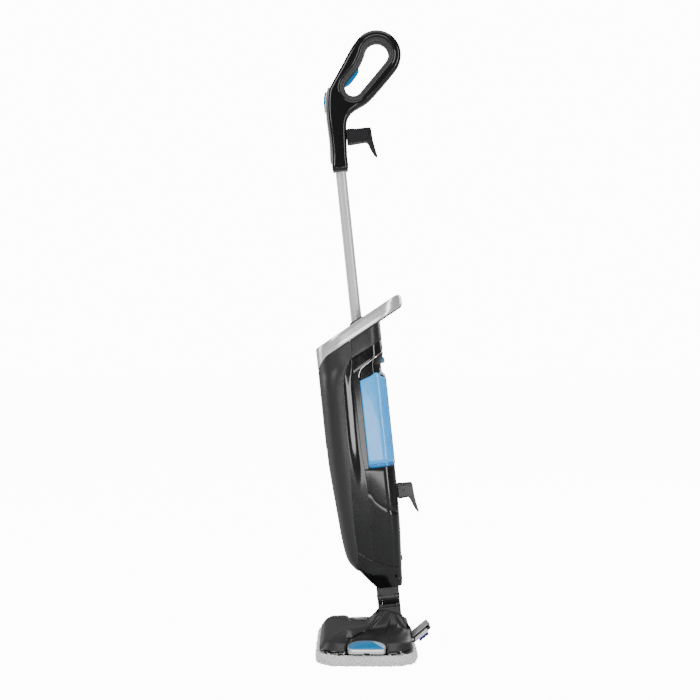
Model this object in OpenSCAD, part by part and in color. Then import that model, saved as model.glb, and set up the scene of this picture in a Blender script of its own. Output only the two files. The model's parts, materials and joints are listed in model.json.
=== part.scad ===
// Steam mop: a foot with a washable pad, a universal joint, a leaning body with a
// lift-out water tank, a tubular pole and a loop handle. Millimetres, +Z up, -Y is the front.

/* [Stance] */
// Forward lean of the parked stick, in degrees
lean = 6; // [4:0.5:8]
// Height of the stick datum above the floor
datum_z = 86; // [85:0.5:87]
// Distance of the stick datum behind the middle of the pad
datum_y = 39; // [38:0.5:40]

/* [Mop pad] */
// Width of the pad, side to side
pad_w = 296; // [290:1:304]
// Depth of the pad, front to back
pad_d = 180; // [178:1:184]
// Thickness of the pad
pad_t = 15.5; // [14:0.5:15.5]
// Corner radius of the pad
pad_corner = 46; // [40:1:55]

/* [Foot] */
// Width of the foot over its base
foot_w = 284; // [280:1:288]
// Depth of the foot over its base
foot_d = 164; // [160:1:166]
// Height of the cover where the neck leaves it
dome_z = 80; // [79:0.5:81]
// Wall of the moulded covers
wall = 2.6; // [2:0.1:3.2]
// Depth of the arch in each side of the foot
arch_depth = 36; // [32:1:38]
// Length of the arch along the foot
arch_length = 72; // [70:1:76]

/* [Scrubber] */
// Width of the scrubber paddle
scrub_w = 50; // [46:1:54]
// Angle that the parked scrubber stands above level
scrub_angle = 39.6; // [36:0.2:42]
// Rows of bristle tufts across the paddle
tuft_rows = 7; // [4:1:8]

/* [Body] */
// Half width of the front shell at its widest
body_half = 62; // [60:1:64]
// Height of the joint between column and tank, along the stick
tank_low = 252; // [250:1:254]
// Height of the tank shoulder, along the stick
tank_high = 411; // [409:1:413]

/* [Pole and handle] */
// Outside radius of the pole
pole_r = 10; // [9.5:0.1:10.5]
// Width of the handle across its two halves
handle_w = 32; // [30:1:34]
// Radius of the top of the loop
loop_r = 44.8; // [44:0.2:46]
// Radius of the top of the finger opening
opening_r = 21.5; // [20:0.5:22]

/* [Hidden] */
$fn = 48;

satin_black = [0.12, 0.12, 0.125];
gloss_black = [0.05, 0.05, 0.055];
soft_grey = [0.2, 0.2, 0.21];
silver = [0.78, 0.78, 0.79];
sky_blue = [0.36, 0.68, 0.9];
signal_blue = [0.1, 0.5, 0.78];
steel = [0.62, 0.62, 0.64];
white = [0.93, 0.93, 0.92];
rubber = [0.1, 0.1, 0.1];
brass = [0.72, 0.58, 0.3];

// ---- heights of the foot's layers ----
base_low = 17;
base_high = 26.2;
floor_t = 2;

// ---- recline and roll axes, in the stick's own frame ----
recline_h = -40;
roll_h = 12;
roll_r = 17;
slot_half = 19;

// ---- body outline, as [height, value] down the stick ----
front_line = [[30, -20], [43, -32], [62, -47.5], [78, -61], [95, -68], [127, -73],
    [172, -76], [228, -80], [290, -82.5], [480, -82.5]];
half_line = [[30, 25], [62, 38], [100, 46], [170, 54], [240, body_half - 3],
    [310, body_half], [480, body_half]];
widest_line = [[30, -4], [62, -24], [95, -44], [300, -41], [400, -40], [425, -34],
    [446, -20], [480, -20]];
rear_line = [[30, 30], [45, 31], [106, 34], [162, 37], [250, 38.5], [480, 38.5]];
column_half_line = [[30, 22], [62, 33], [100, 40], [170, 46], [240, 49], [480, 51]];
seam_y = -13;
boot_top = 64;
shell_top = 480;
inlet_h = 80;
bay_front = -9.6;
bay_wall = bay_front - 0.5;
column_y = bay_wall + 0.3;
cover_split = 178;

// ---- general shapes ----

function lerp(a, b, t) = a + (b - a) * t;
function sgn_pow(v, p) = sign(v) * pow(abs(v), p);
function flip(points) = [for (i = [len(points) - 1:-1:0]) points[i]];
function arc(c, r, a0, a1, n) =
    [for (i = [0:n]) c + r * [cos(lerp(a0, a1, i / n)), sin(lerp(a0, a1, i / n))]];

// A sheet with thickness between two grids of points, outer and inner, both [row][column].
// ring = true joins the last column to the first.
module sheet(outer, inner, ring = false) {
    rows = len(outer);
    cols = len(outer[0]);
    span = ring ? cols : cols - 1;
    n = rows * cols;
    points = concat([for (r = outer) each r], [for (r = inner) each r]);
    function at(i, j) = i * cols + j % cols;
    skin = [for (i = [0:rows - 2], j = [0:span - 1]) each [
        [at(i, j), at(i + 1, j), at(i + 1, j + 1)],
        [at(i, j), at(i + 1, j + 1), at(i, j + 1)],
        [n + at(i, j), n + at(i + 1, j + 1), n + at(i + 1, j)],
        [n + at(i, j), n + at(i, j + 1), n + at(i + 1, j + 1)]]];
    rims = [for (j = [0:span - 1]) each [
        [at(0, j), at(0, j + 1), n + at(0, j + 1)],
        [at(0, j), n + at(0, j + 1), n + at(0, j)],
        [at(rows - 1, j), n + at(rows - 1, j + 1), at(rows - 1, j + 1)],
        [at(rows - 1, j), n + at(rows - 1, j), n + at(rows - 1, j + 1)]]];
    ends = ring ? [] : [for (i = [0:rows - 2]) each [
        [at(i, 0), n + at(i + 1, 0), at(i + 1, 0)],
        [at(i, 0), n + at(i, 0), n + at(i + 1, 0)],
        [at(i, cols - 1), at(i + 1, cols - 1), n + at(i + 1, cols - 1)],
        [at(i, cols - 1), n + at(i + 1, cols - 1), n + at(i, cols - 1)]]];
    polyhedron(points, concat(skin, rims, ends), convexity = 10);
}

// A closed solid through a stack of rings, each with a fan cap at its end.
module stack(rings) {
    rows = len(rings);
    cols = len(rings[0]);
    n = rows * cols;
    function middle(r) = [for (k = [0:2]) sum_of([for (p = r) p[k]]) / len(r)];
    points = concat([for (r = rings) each r], [middle(rings[0]), middle(rings[rows - 1])]);
    sides = [for (i = [0:rows - 2], j = [0:cols - 1]) each [
        [i * cols + j, (i + 1) * cols + j, (i + 1) * cols + (j + 1) % cols],
        [i * cols + j, (i + 1) * cols + (j + 1) % cols, i * cols + (j + 1) % cols]]];
    low = [for (j = [0:cols - 1]) [n, j, (j + 1) % cols]];
    high = [for (j = [0:cols - 1])
        [n + 1, (rows - 1) * cols + (j + 1) % cols, (rows - 1) * cols + j]];
    polyhedron(points, concat(sides, low, high), convexity = 4);
}
function sum_of(v, i = 0) = i < len(v) ? v[i] + sum_of(v, i + 1) : 0;

// Rounded rectangle about a centre, anticlockwise.
function round_rect(w, d, r, n = 6) = concat(
    arc([w / 2 - r, d / 2 - r], r, 0, 90, n), arc([r - w / 2, d / 2 - r], r, 90, 180, n),
    arc([r - w / 2, r - d / 2], r, 180, 270, n), arc([w / 2 - r, r - d / 2], r, 270, 360, n));
function raise(points, z) = [for (p = points) [p[0], p[1], z]];

// Places children, drawn in the leaning stick's frame, in the part's frame.
module stick() {
    translate([0, datum_y, datum_z]) rotate([lean, 0, 0]) children();
}
// Cylinders along X and along Y.
module rod_x(r, x0, x1) {
    translate([x0, 0, 0]) rotate([0, 90, 0]) cylinder(r = r, h = x1 - x0);
}
module rod_y(r, y0, y1) {
    translate([0, y0, 0]) rotate([-90, 0, 0]) cylinder(r = r, h = y1 - y0);
}
// Extrudes an outline drawn in (y, z) from x0 to x1.
module side_extrude(x0, x1) {
    translate([x0, 0, 0]) rotate([90, 0, 90]) linear_extrude(x1 - x0) children();
}
// Round tube swept along a list of points.
module hose(path, r, bore, sides = 10) {
    last = len(path) - 1;
    function dir(i) = let (d = path[min(i + 1, last)] - path[max(i - 1, 0)]) d / norm(d);
    function side_of(d) = let (s = cross(d, [1, 0, 0.01])) s / norm(s);
    function turn(i, rr) = let (d = dir(i), a = side_of(d), b = cross(d, a))
        [for (k = [0:sides - 1]) path[i] + rr * (a * cos(360 * k / sides) + b * sin(360 * k / sides))];
    sheet([for (i = [0:last]) turn(i, r)], [for (i = [0:last]) turn(i, bore)], ring = true);
}

// ---- foot outline ----

arch_y = -2;
arch_half = arch_length / 2;
function arch_shift(y) = let (u = min(1, abs(y - arch_y) / arch_half)) arch_depth * pow(1 - pow(u, 4), 0.6);
side_samples = [0, 0.3, 0.6, 0.8, 0.92, 0.985, 1.02];
function side_y() = concat([for (i = [6:-1:1]) arch_y - arch_half * side_samples[i]],
    [for (i = [0:6]) arch_y + arch_half * side_samples[i]]);
// Plan outline of the foot, drawn in by inset; arches cut both sides.
function foot_outline(inset) =
    let (w = foot_w / 2 - inset, d = foot_d / 2 - inset, r = 40,
        right = [for (y = side_y()) [w - arch_shift(y), y]],
        left = [for (y = flip(side_y())) [arch_shift(y) - w, y]],
        edge = [-0.6, -0.25, 0.25, 0.6])
    concat(right, arc([w - r, d - r], r, 0, 90, 5), [for (x = [62, notch_half, -notch_half, -62]) [x, d]],
        arc([r - w, d - r], r, 90, 180, 5), left, arc([r - w, r - d], r, 180, 270, 5),
        [for (k = edge) [k * (w - r), -d]], arc([w - r, r - d], r, 270, 360, 5));

// The outline as an open line, from one side of the scrubber's notch round the front to the other.
notch_half = scrub_w / 2 + 9;
notch_start = 21;
function open_outline(inset) = let (o = foot_outline(inset)) [for (i = [0:len(o) - 1]) o[(i + notch_start) % len(o)]];

crown_y = 46.5;
crown_half = 30;
// The cover's opening around the neck, in the direction of a point of the outline.
function crown(p) =
    let (v = p - [0, crown_y], u = v / norm(v), n = 6,
        r = pow(pow(abs(u[0]) / (slot_half + 1.6), n) + pow(abs(u[1]) / crown_half, n), -1 / n),
        c = [0, crown_y] + u * r,
        fall = max(0, c[1] - 56) / 20)
    [c[0], c[1], dome_z - 44 * pow(fall, 1.3)];
// Height of the cover against the way in from its edge to the crown: over a corner lobe,
// over the arch in the side, and over the middle of the front.
lobe_line = [[0, 26.2], [0.01, 31], [0.03, 35], [0.07, 37.5], [0.15, 40], [0.3, 45], [0.5, 49.5], [0.7, 53],
    [0.8, 57], [0.9, 67], [1, 80]];
arch_line = [[0, 26.2], [0.04, 29], [0.12, 33], [0.2, 36.5], [0.24, 37.6], [0.3, 38.6], [0.5, 41.5], [0.65, 45],
    [0.78, 51], [0.9, 63], [1, 80]];
front_line_z = [[0, 26.2], [0.01, 31], [0.05, 37], [0.1, 39.5], [0.2, 43], [0.35, 47], [0.58, 52.5], [0.73, 56],
    [0.83, 60], [0.92, 68], [1, 80]];
cover_steps = [0, 0.012, 0.035, 0.08, 0.15, 0.24, 0.36, 0.5, 0.62, 0.74, 0.84, 0.92, 1];
function cover_grid(inset, drop) = [for (e = cover_steps) [for (p = open_outline(inset))
    let (side = abs(p[0]) > foot_w / 2 - inset - arch_depth - 1 && abs(p[1] - arch_y) < arch_half + 1,
        c = crown(side ? [sign(p[0]) * (foot_w / 2 - inset), p[1]] : p),
        end = [c[0] + inset * sign(c[0]) / 2, c[1]],
        level = max(0, min(1, (foot_d / 2 - inset - abs(p[1])) / 38)),
        m = lerp((p + end) / 2, [0.45 * p[0], p[1]], level),
        q = lerp(lerp(p, m, e), lerp(m, end, e), e),
        arched = side ? arch_shift(p[1]) / arch_depth : 0,
        middle = side ? 0 : pow(max(0, 1 - abs(p[0]) / 90), 0.7),
        z = lookup(e, lobe_line) * (1 - arched - middle) + lookup(e, arch_line) * arched
            + lookup(e, front_line_z) * middle)
    [q[0], q[1], max(base_high, z + (c[2] - dome_z) * e * e - drop * min(1, e * 20))]]];

module foot_cover() {
    color(satin_black) sheet(flip(cover_grid(0, 0)), flip(cover_grid(wall, wall)));
}

module base_rim() {
    color(gloss_black) translate([0, 0, base_low + floor_t]) linear_extrude(base_high - base_low - floor_t - 0.1)
        difference() {
            polygon(foot_outline(-1));
            polygon(foot_outline(2.4));
            translate([-notch_half, 70]) square([2 * notch_half, 20]);
        }
}

module foot_base() {
    cheek_x = slot_half + 1;
    cheek_t = 6;
    axle_y = datum_y - recline_h * sin(lean);
    axle_z = datum_z + recline_h * cos(lean);
    color(gloss_black) difference() {
        union() {
            translate([0, 0, base_low]) linear_extrude(floor_t)
                polygon(round_rect(foot_w - 2, foot_d - 2, 39));
            for (s = [-1, 1]) translate([0, axle_y, 0]) {
                translate([s * (cheek_x + cheek_t / 2) - cheek_t / 2, -12, base_low + 1])
                    cube([cheek_t, 24, axle_z - base_low - 1]);
                translate([0, 0, axle_z]) rod_x(13, s * cheek_x + (s < 0 ? -cheek_t : 0), s * cheek_x + (s < 0 ? 0 : cheek_t));
            }
            for (s = [-1, 1]) translate([s * (scrub_w / 2 + 3.2) - 2.4, scrub_y - 7, base_low + 2])
                cube([4.8, 11.5, scrub_z + 3.5 - base_low - 2]);
            for (s = [-1, 1], e = [-1, 1]) translate([s * tab_pin_x - 4, arch_y + e * tab_post - 2.5, base_low + 1])
                cube([8, 5, tab_pin_z - base_low + 2]);
        }
        translate([0, axle_y, axle_z]) rod_x(8, -40, 40);
        translate([0, scrub_y, scrub_z]) rod_x(2.05, -60, 60);
        for (s = [-1, 1]) translate([s * tab_pin_x, 0, tab_pin_z]) rod_y(1.55, -50, 50);
        translate([0, 20, 0]) cylinder(r = 9, h = 60);
        translate([-scrub_w / 2 - 0.4, 74, 0]) cube([scrub_w + 0.8, 20, 60]);
    }
}

module axle_bushes() {
    axle_y = datum_y - recline_h * sin(lean);
    axle_z = datum_z + recline_h * cos(lean);
    color(brass) for (s = [-1, 1]) translate([0, axle_y, axle_z]) difference() {
        rod_x(8, s < 0 ? -slot_half - 7 : slot_half + 1, s < 0 ? -slot_half - 1 : slot_half + 7);
        rod_x(5.05, -40, 40);
    }
}

module steam_diffuser() {
    color(soft_grey) translate([0, 20, base_high - 5]) difference() {
        union() {
            cylinder(r = 17, h = 8);
            translate([0, 0, -5.4]) cylinder(r = 8.8, h = 11);
        }
        translate([0, 0, 2]) cylinder(r = 6, h = 10);
        for (a = [0:60:300]) rotate([0, 0, a]) translate([3.8, 0, -8]) cylinder(r = 1, h = 12);
    }
}

// ---- pad and tray ----

tray_t = 1.4;
module pad_tray() {
    color(white) translate([0, 0, pad_t + 0.05]) linear_extrude(tray_t - 0.05) difference() {
        polygon(round_rect(foot_w - 16, foot_d - 14, 34));
        translate([0, 20]) circle(r = 14);
    }
}

module mop_pad() {
    edge = pad_t / 2;
    rows = [for (a = [-75:25:75]) [edge * (1 - cos(a)), edge + edge * sin(a)]];
    flat_rows = concat([[edge * 1.3, 0]], rows, [[edge * 1.3, pad_t]]);
    color(white) stack([for (k = flat_rows)
        raise(round_rect(pad_w - 2 * k[0], pad_d - 2 * k[0], pad_corner - k[0]), k[1])]);
}

// ---- side release tabs ----

tab_len = 66;
tab_out = foot_w / 2 + 5;
tab_in = foot_w / 2 - arch_depth + 3.5;
tab_low = 22;
tab_pin_x = tab_in + 5.5;
tab_pin_z = tab_low + 6;
tab_post = 14;
tab_spring_x = tab_pin_x + 14;
tab_slope = 12.4;
// D-shaped plan of a tab: a straight outer edge with round corners and an elliptic inner end.
function tab_plan(inset) =
    let (l = tab_len / 2 - inset, deep = tab_out - tab_in - 14, r = 8 - inset)
    concat([[0, -l]], [for (a = [-75:15:75]) [-(deep - inset) * cos(a), l * sin(a)]], [[0, l]],
        arc([14 - inset - r, l - r], r, 90, 0, 4), arc([14 - inset - r, r - l], r, 0, -90, 4));

// Clears the posts of a tab's hinge and the spring below it.
module tab_clearance() {
    for (e = [-1, 1]) translate([tab_pin_x - tab_out + 14 - 5.5, e * tab_post - 3, tab_low - 1])
        cube([11, 6, tab_pin_z - tab_low + 6]);
    translate([tab_spring_x - tab_out + 14, 0, tab_low - 1]) cylinder(r = 4, h = 4);
}
module tab_frame(s) {
    color(silver) scale_x(s) translate([tab_out - 14, arch_y, 0]) difference() {
        translate([0, 0, tab_low]) linear_extrude(26) polygon(tab_plan(0));
        translate([0, 0, tab_low + 2]) linear_extrude(26) polygon(tab_plan(2.2));
        translate([14, 0, tab_low + 8.2]) rotate([0, tab_slope, 0]) tab_wedge(0);
        tab_clearance();
        translate([tab_pin_x - tab_out + 14, 0, tab_pin_z]) rod_y(1.55, -50, 50);
        translate([12.8, -4, tab_low - 1]) cube([3, 8, 4]);
    }
}
// A block with its underside on the tab's sloping plane, or its top when drop is its height.
module tab_wedge(drop) {
    translate([-60, -50, -drop]) cube([80, 100, 60]);
}
module scale_x(s) {
    if (s < 0) mirror([1, 0, 0]) children();
    else children();
}
module tab_cap(s) {
    color(signal_blue) scale_x(s) translate([tab_out - 14, arch_y, 0]) difference() {
        translate([0, 0, tab_low + 2.1]) linear_extrude(26) polygon(tab_plan(2.3));
        translate([14, 0, tab_low + 9]) rotate([0, tab_slope, 0]) tab_wedge(0);
        translate([14, 0, tab_low + 6.4]) rotate([0, tab_slope, 0]) tab_wedge(60);
        tab_clearance();
    }
}
module tab_frame_left() { tab_frame(-1); }
module tab_frame_right() { tab_frame(1); }
module tab_cap_left() { tab_cap(-1); }
module tab_cap_right() { tab_cap(1); }
// The four pins of the tabs and the long pin of the scrubber.
module foot_pins() {
    color(steel) {
        for (s = [-1, 1], e = [-1, 1]) translate([s * tab_pin_x, arch_y, tab_pin_z])
            rod_y(1.5, e > 0 ? 10 : -20.4, e > 0 ? 20.4 : -10);
        translate([0, scrub_y, scrub_z]) rod_x(2, -scrub_w / 2 - 5.5, scrub_w / 2 + 5.5);
    }
}
module tab_springs() {
    color(steel) for (s = [-1, 1], k = [0:4]) translate([s * tab_spring_x, arch_y, base_low + floor_t + 0.4 + k * 1.1])
        rotate_extrude() translate([2.6, 0]) circle(r = 0.4, $fn = 16);
}

// ---- scrubber at the back of the foot ----

scrub_y = 83;
scrub_z = 24;
scrub_len = 38;
scrub_under = -7.2;
scrub_cap = 6;
module scrub() {
    translate([0, scrub_y, scrub_z]) rotate([scrub_angle, 0, 0]) children();
}
module scrubber_frame() {
    color(gloss_black) scrub() difference() {
        union() {
            translate([-scrub_w / 2, -3, -1]) cube([scrub_w, scrub_len + 3, 3.5]);
            translate([-scrub_w / 2, scrub_len - scrub_cap, scrub_under + 1.3]) cube([scrub_w, scrub_cap, 8.2]);
            rod_x(3.6, -scrub_w / 2, scrub_w / 2);
        }
        rod_x(2.05, -60, 60);
    }
}
module scrubber_top() {
    color(silver) scrub() translate([-scrub_w / 2 + 0.8, 4.2, 2.5]) cube([scrub_w - 1.6, scrub_len - 5, 1.6]);
}
module scrubber_block() {
    color(white) scrub() difference() {
        translate([-scrub_w / 2 + 0.5, -3, scrub_under]) cube([scrub_w - 1, scrub_len - scrub_cap + 2.8, 6]);
        rod_x(3.8, -60, 60);
    }
}
module scrubber_bristles() {
    pitch = (scrub_w - 12) / (tuft_rows - 1);
    color([0.22, 0.2, 0.5]) scrub()
        for (i = [0:tuft_rows - 1], y = [10.5, 17.5, 24.5])
            translate([i * pitch - (scrub_w - 12) / 2, y, scrub_under - 6.5]) cylinder(r = 2.2, h = 6.5, $fn = 16);
}

// ---- universal joint ----

ear_low = -19;
ear_high = 22;
tongue_low = -10;
tongue_high = 13;
neck_front = -16.8;
neck_top = 50;
module yoke() {
    color(gloss_black) stick() difference() {
        union() {
            translate([0, 0, recline_h]) rod_x(15, -slot_half + 1, slot_half - 1);
            translate([-roll_r, ear_low, recline_h + 12]) cube([2 * roll_r, ear_high - ear_low, 22]);
            translate([-13, -14, recline_h]) cube([26, 28, 14]);
            for (e = [[ear_low, tongue_low - 0.4], [tongue_high + 0.4, ear_high]]) {
                translate([-12, e[0], -8]) cube([24, e[1] - e[0], roll_h + 8]);
                translate([0, 0, roll_h]) rod_y(roll_r, e[0], e[1]);
            }
        }
        translate([0, 0, recline_h]) rod_x(5, -60, 60);
        translate([0, 0, roll_h]) rod_y(4, -60, 60);
        translate([0, 0, roll_h]) rod_y(roll_r - 0.3, tongue_low - 0.4, tongue_high + 0.4);
    }
}
module recline_axle() {
    color(steel) stick() translate([0, 0, recline_h]) rod_x(5, -slot_half - 8, slot_half + 8);
}
module roll_pin() {
    color(steel) stick() translate([0, 0, roll_h]) rod_y(4, ear_low - 0.6, ear_high + 0.6);
}
module neck() {
    color(gloss_black) stick() difference() {
        union() {
            translate([-15, tongue_low, roll_h]) cube([30, tongue_high - tongue_low, 36]);
            translate([0, 0, roll_h]) rod_y(15.5, tongue_low, tongue_high);
            translate([-roll_r, ear_low, roll_h + 6]) cube([2 * roll_r, ear_high - ear_low, 12.6]);
            translate([-roll_r, neck_front, roll_h + 6]) cube([2 * roll_r, ear_high - neck_front, neck_top - roll_h - 6]);
        }
        translate([0, 0, roll_h]) rod_y(4.05, -60, 60);
        for (e = [[ear_low - 1, tongue_low], [tongue_high, ear_high + 1]])
            translate([0, 0, roll_h]) rod_y(roll_r + 0.6, e[0], e[1]);
        translate([0, 0, 40]) cylinder(r = 5.5, h = 60);
        translate([0, -2, 46]) cylinder(r = 9, h = 60);
    }
}

// ---- body shells ----

// The line under the carry band, falling into a chin at the front.
function top_z(y) = 495.4 + 0.531 * y - 14 * pow(max(0, -60 - y) / 22, 2);
function collar_z(y) = 462 + 0.49 * y;
function hood_z(y) = 437 + 0.63 * y;
// Real height of a point whose section has nominal height h: sections tilt towards the band.
function tilt_z(h, y) = h <= 400 ? h : lerp(400, top_z(y), (h - 400) / (shell_top - 400));

// Front curve of the body at a height, from the left edge round the front to the right edge.
function front_curve(h, inset, n = 14) =
    let (w = lookup(h, half_line) - inset, yf = lookup(h, front_line) + inset,
        yc = lookup(h, widest_line))
    [for (i = [-n:n]) let (a = 90 * i / n, x = w * sgn_pow(sin(a), 0.78),
        y = yc - (yc - yf) * pow(cos(a), 0.78)) [x, y, tilt_z(h, y)]];
shell_levels = [boot_top, 72, 80, 95, 127, 172, 228, 290, 350, 400, 425, 446, 463, 480];

module front_shell() {
    color(satin_black) stick() sheet([for (h = shell_levels) front_curve(h, 0)],
        [for (h = shell_levels) front_curve(h, wall)]);
}

// A narrow raised spine down the middle of the front shell.
module front_trim() {
    levels = [294, 320, 350, 400, 425, 446, 480];
    function strip(h, out) = let (yf = lookup(h, front_line) - out)
        [for (x = [-9, -5, 0, 5, 9]) let (y = yf + 0.0014 * x * x) [x, y, tilt_z(h, y) - 1]];
    color(gloss_black) stick() sheet([for (h = levels) strip(h, 1.2)], [for (h = levels) strip(h, 0.2)]);
}

// Side panels behind the front shell and the wall in front of the tank.
module chassis() {
    levels = [boot_top, 95, 127, 172, 228, 290, 350, 400, 425, 440, 452];
    function curve(h, t) =
        let (w = lookup(h, half_line) - 3.4 - t, c = lookup(h, column_half_line) - t,
            yw = lookup(h, widest_line) - 2)
        [[-w, yw], [-w, yw + 8], [-c - 2, seam_y - 6], [-c, bay_wall - t], [-c / 2, bay_wall - t],
            [c / 2, bay_wall - t], [c, bay_wall - t], [c + 2, seam_y - 6], [w, yw + 8], [w, yw]];
    color(gloss_black) stick() difference() {
        sheet([for (h = levels) raise(flip(curve(h, 0)), h)], [for (h = levels) raise(flip(curve(h, wall)), h)]);
        translate([0, 0, port_h]) rod_y(port_r, -40, 0);
        translate([0, 0, cap_h]) rod_y(21, -40, 0);
    }
}

// Rear half-curve of the column, from the right side round the back to the left.
function column_curve(h, y0, inset, n = 10) =
    let (w = lookup(h, column_half_line) - inset, yr = lookup(h, rear_line) - inset)
    [for (i = [n:-1:-n]) let (a = 90 * i / n)
        [w * sgn_pow(sin(a), 0.7), y0 + (yr - y0) * pow(cos(a), 0.7)]];
function at_heights(points, heights) =
    [for (i = [0:len(points) - 1]) [points[i][0], points[i][1], heights[i]]];
// A band of the column between two sloping lines, low(y) and high(y), given as [height, slope].
function column_band(y0, inset, low, high, rows = 4) =
    [for (k = [0:rows]) let (c = column_curve(lerp(low[0], high[0], k / rows), y0, inset))
        at_heights(c, [for (p = c) lerp(low[0] + low[1] * p[1], high[0] + high[1] * p[1], k / rows)])];
module column_piece(y0, low, high, rows = 4) {
    sheet(column_band(y0, 0, low, high, rows), column_band(y0, wall, low, high, rows));
}
module back_collar() {
    color(satin_black) stick() column_piece(seam_y - 6.5, [462.3, 0.49], [495.4, 0.531]);
}
module tank_hood() {
    color(gloss_black) stick() column_piece(column_y, [437, 0.63], [462, 0.49]);
}
module column_cover() {
    split = [cover_split + 6, -0.65];
    color(gloss_black) stick() difference() {
        union() {
            column_piece(column_y, split, [tank_low - 0.2, 0], 5);
            translate([0, 0, tank_low - 3.2]) linear_extrude(3)
                polygon(column_curve(tank_low, column_y, 1));
            translate([-14, 18, hook_low_h - 13]) cube([28, 18, 26]);
        }
        translate([0, 0, hook_low_h]) rod_y(3, 20, 60);
    }
}
module rear_cover() {
    color(gloss_black) stick() difference() {
        column_piece(column_y, [boot_top + 0.2, 0], [cover_split + 5.8, -0.65], 6);
        translate([0, 0, inlet_h]) rod_y(5.55, 20, 60);
    }
}

// Closed plan of the lower body, front curve joined to the rear curve.
function body_ring(h, inset) = concat([for (p = front_curve(h, inset, 9)) [p[0], p[1]]],
    flip([for (i = [-8:8]) let (a = 90 * i / 9, w = lookup(h, column_half_line) - inset,
        yr = lookup(h, rear_line) - inset, y0 = lookup(h, widest_line))
        [lerp(lookup(h, half_line) - inset, w, 0.3) * sgn_pow(sin(a), 0.7), y0 + (yr - y0) * pow(cos(a), 0.6)]]));
module boot() {
    levels = [31, 36, 43, 52, boot_top - 0.2];
    color(gloss_black) stick() {
        difference() {
            sheet([for (h = levels) raise(body_ring(h, 0), h)],
                [for (h = levels) raise(body_ring(h, wall), h)], ring = true);
            translate([20, 27, 46]) rod_x(1.8, 0, 20);
        }
        difference() {
            translate([0, 0, 31.5]) linear_extrude(3) polygon(body_ring(31.5, 1));
            translate([-roll_r - 0.1, neck_front - 0.1, 20]) cube([2 * roll_r + 0.2, ear_high - neck_front + 0.2, 30]);
        }
    }
}

// ---- carry band, deck and pole ----

band_h = 24.9;
function band_curve(inset, rear_inset, n = 40) = [for (i = [0:n - 1])
    let (a = 360 * i / n, back = sin(a) > 0, yc = -8,
        reach = back ? 90.5 - rear_inset : 75.5 - inset,
        w = (body_half + 1.6) - inset)
    [w * sgn_pow(cos(a), back ? 0.7 : 0.78), yc + reach * sgn_pow(sin(a), back ? 0.7 : 0.78)]];
function band_row(inset, rear_inset, up) = [for (p = band_curve(inset, rear_inset))
    [p[0], p[1], (up > 0.5 ? 495.4 + 0.531 * p[1] + band_h : top_z(p[1]) + 0.6)
        - (up > 0.5 ? 1.7 * max(0, p[1] - 73.5) : 0)]];
module carry_band() {
    color(silver) stick() sheet([band_row(0, 0, 0), band_row(0, 0, 1)],
        [band_row(7, 13, 0), band_row(7, 13, 1)], ring = true);
}
// Ribs along the under side of the band's rear end, where the fingers close.
module band_grip() {
    color(rubber) stick() for (k = [-6:6]) let (x = k * 5.6, y = 74 - 0.007 * x * x)
        translate([x - 1.5, y - 4, top_z(y - 4) - 2.5]) rotate([28, 0, 0]) cube([3, 9, 2.4]);
}

socket_y = -3.6;
socket_low = 453;
pole_low = 455;
module top_deck() {
    deck = [for (p = band_curve(9.5, 52)) [p[0], p[1] < 40 ? p[1] : 40]];
    color(satin_black) stick() difference() {
        union() {
            sheet([[for (p = deck) [p[0], p[1], 495.4 + 0.531 * p[1] + 1]],
                [for (p = deck) [p[0], p[1], 495.4 + 0.531 * p[1] + 4]]],
                [[for (p = deck) [p[0] * 0.12, socket_y + (p[1] - socket_y) * 0.12, 494.5 + 0.531 * socket_y]],
                [for (p = deck) [p[0] * 0.12, socket_y + (p[1] - socket_y) * 0.12, 499.5 + 0.531 * socket_y]]], ring = true);
            translate([0, socket_y, socket_low]) cylinder(r = 14, h = 530 - socket_low);
        }
        translate([0, socket_y, pole_low]) cylinder(r = pole_r + 0.02, h = 100);
        translate([0, socket_y, 430]) cylinder(r = 7, h = 40);
        translate([-30, socket_y - 13, 520]) rotate([20, 0, 0]) translate([0, -20, 0]) cube([60, 80, 40]);
    }
}
pole_high = 826;
module pole() {
    color(silver) stick() translate([0, socket_y, 0]) difference() {
        translate([0, 0, pole_low]) cylinder(r = pole_r, h = pole_high - pole_low);
        translate([0, 0, pole_low - 1]) cylinder(r = pole_r - 1.2, h = pole_high - pole_low + 2);
    }
}

// ---- works inside the body ----

port_h = 268;
port_r = 9;
cap_h = 372;
module boiler() {
    color(steel) stick() translate([0, -46, 0]) {
        translate([0, 0, 140]) cylinder(r = 25, h = 95);
        translate([0, 0, 235]) cylinder(r = 12, h = 12);
        translate([0, 0, 130]) cylinder(r = 8, h = 10);
    }
}
module pump() {
    color(soft_grey) stick() translate([0, -40, 0]) {
        translate([-16, -14, 82]) cube([32, 28, 34]);
        translate([22, 0, 85]) cylinder(r = 5.5, h = 28);
        translate([16, -4, 92]) cube([2, 8, 8]);
    }
}
module control_board() {
    color([0.1, 0.35, 0.2]) stick() translate([-34, -62, 320]) cube([68, 1.6, 70]);
    color(gloss_black) stick() translate([-12, -60.4, 332]) cube([24, 14, 20]);
    color(steel) stick() translate([0, -60.4, 375]) rod_y(5, 0, 14);
}
module water_hose() {
    path = [[0, -22, 268], [1, -25, 268], [7, -31, 267], [20, -38, 258], [33, -38, 235], [34, -34, 200],
        [34, -32, 160], [30, -36, 130], [22.5, -40, 116]];
    color(white) stick() hose(path, 3.4, 2);
}
module steam_hose() {
    path = [[0, -46, 129.6], [0, -46, 127.4], [0, -42, 123.5], [0, -34, 122.2], [0, -25, 121], [0, -20.6, 116], [0, -19.6, 108],
        [0, -19.6, 66], [0, -17.5, 60.5], [0, -10, 57], [0, -3.5, 55], [0, -0.5, 51], [0, 0, 46], [0, 0, 41]];
    color(soft_grey) stick() hose(path, 4.5, 2.6);
}
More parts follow.
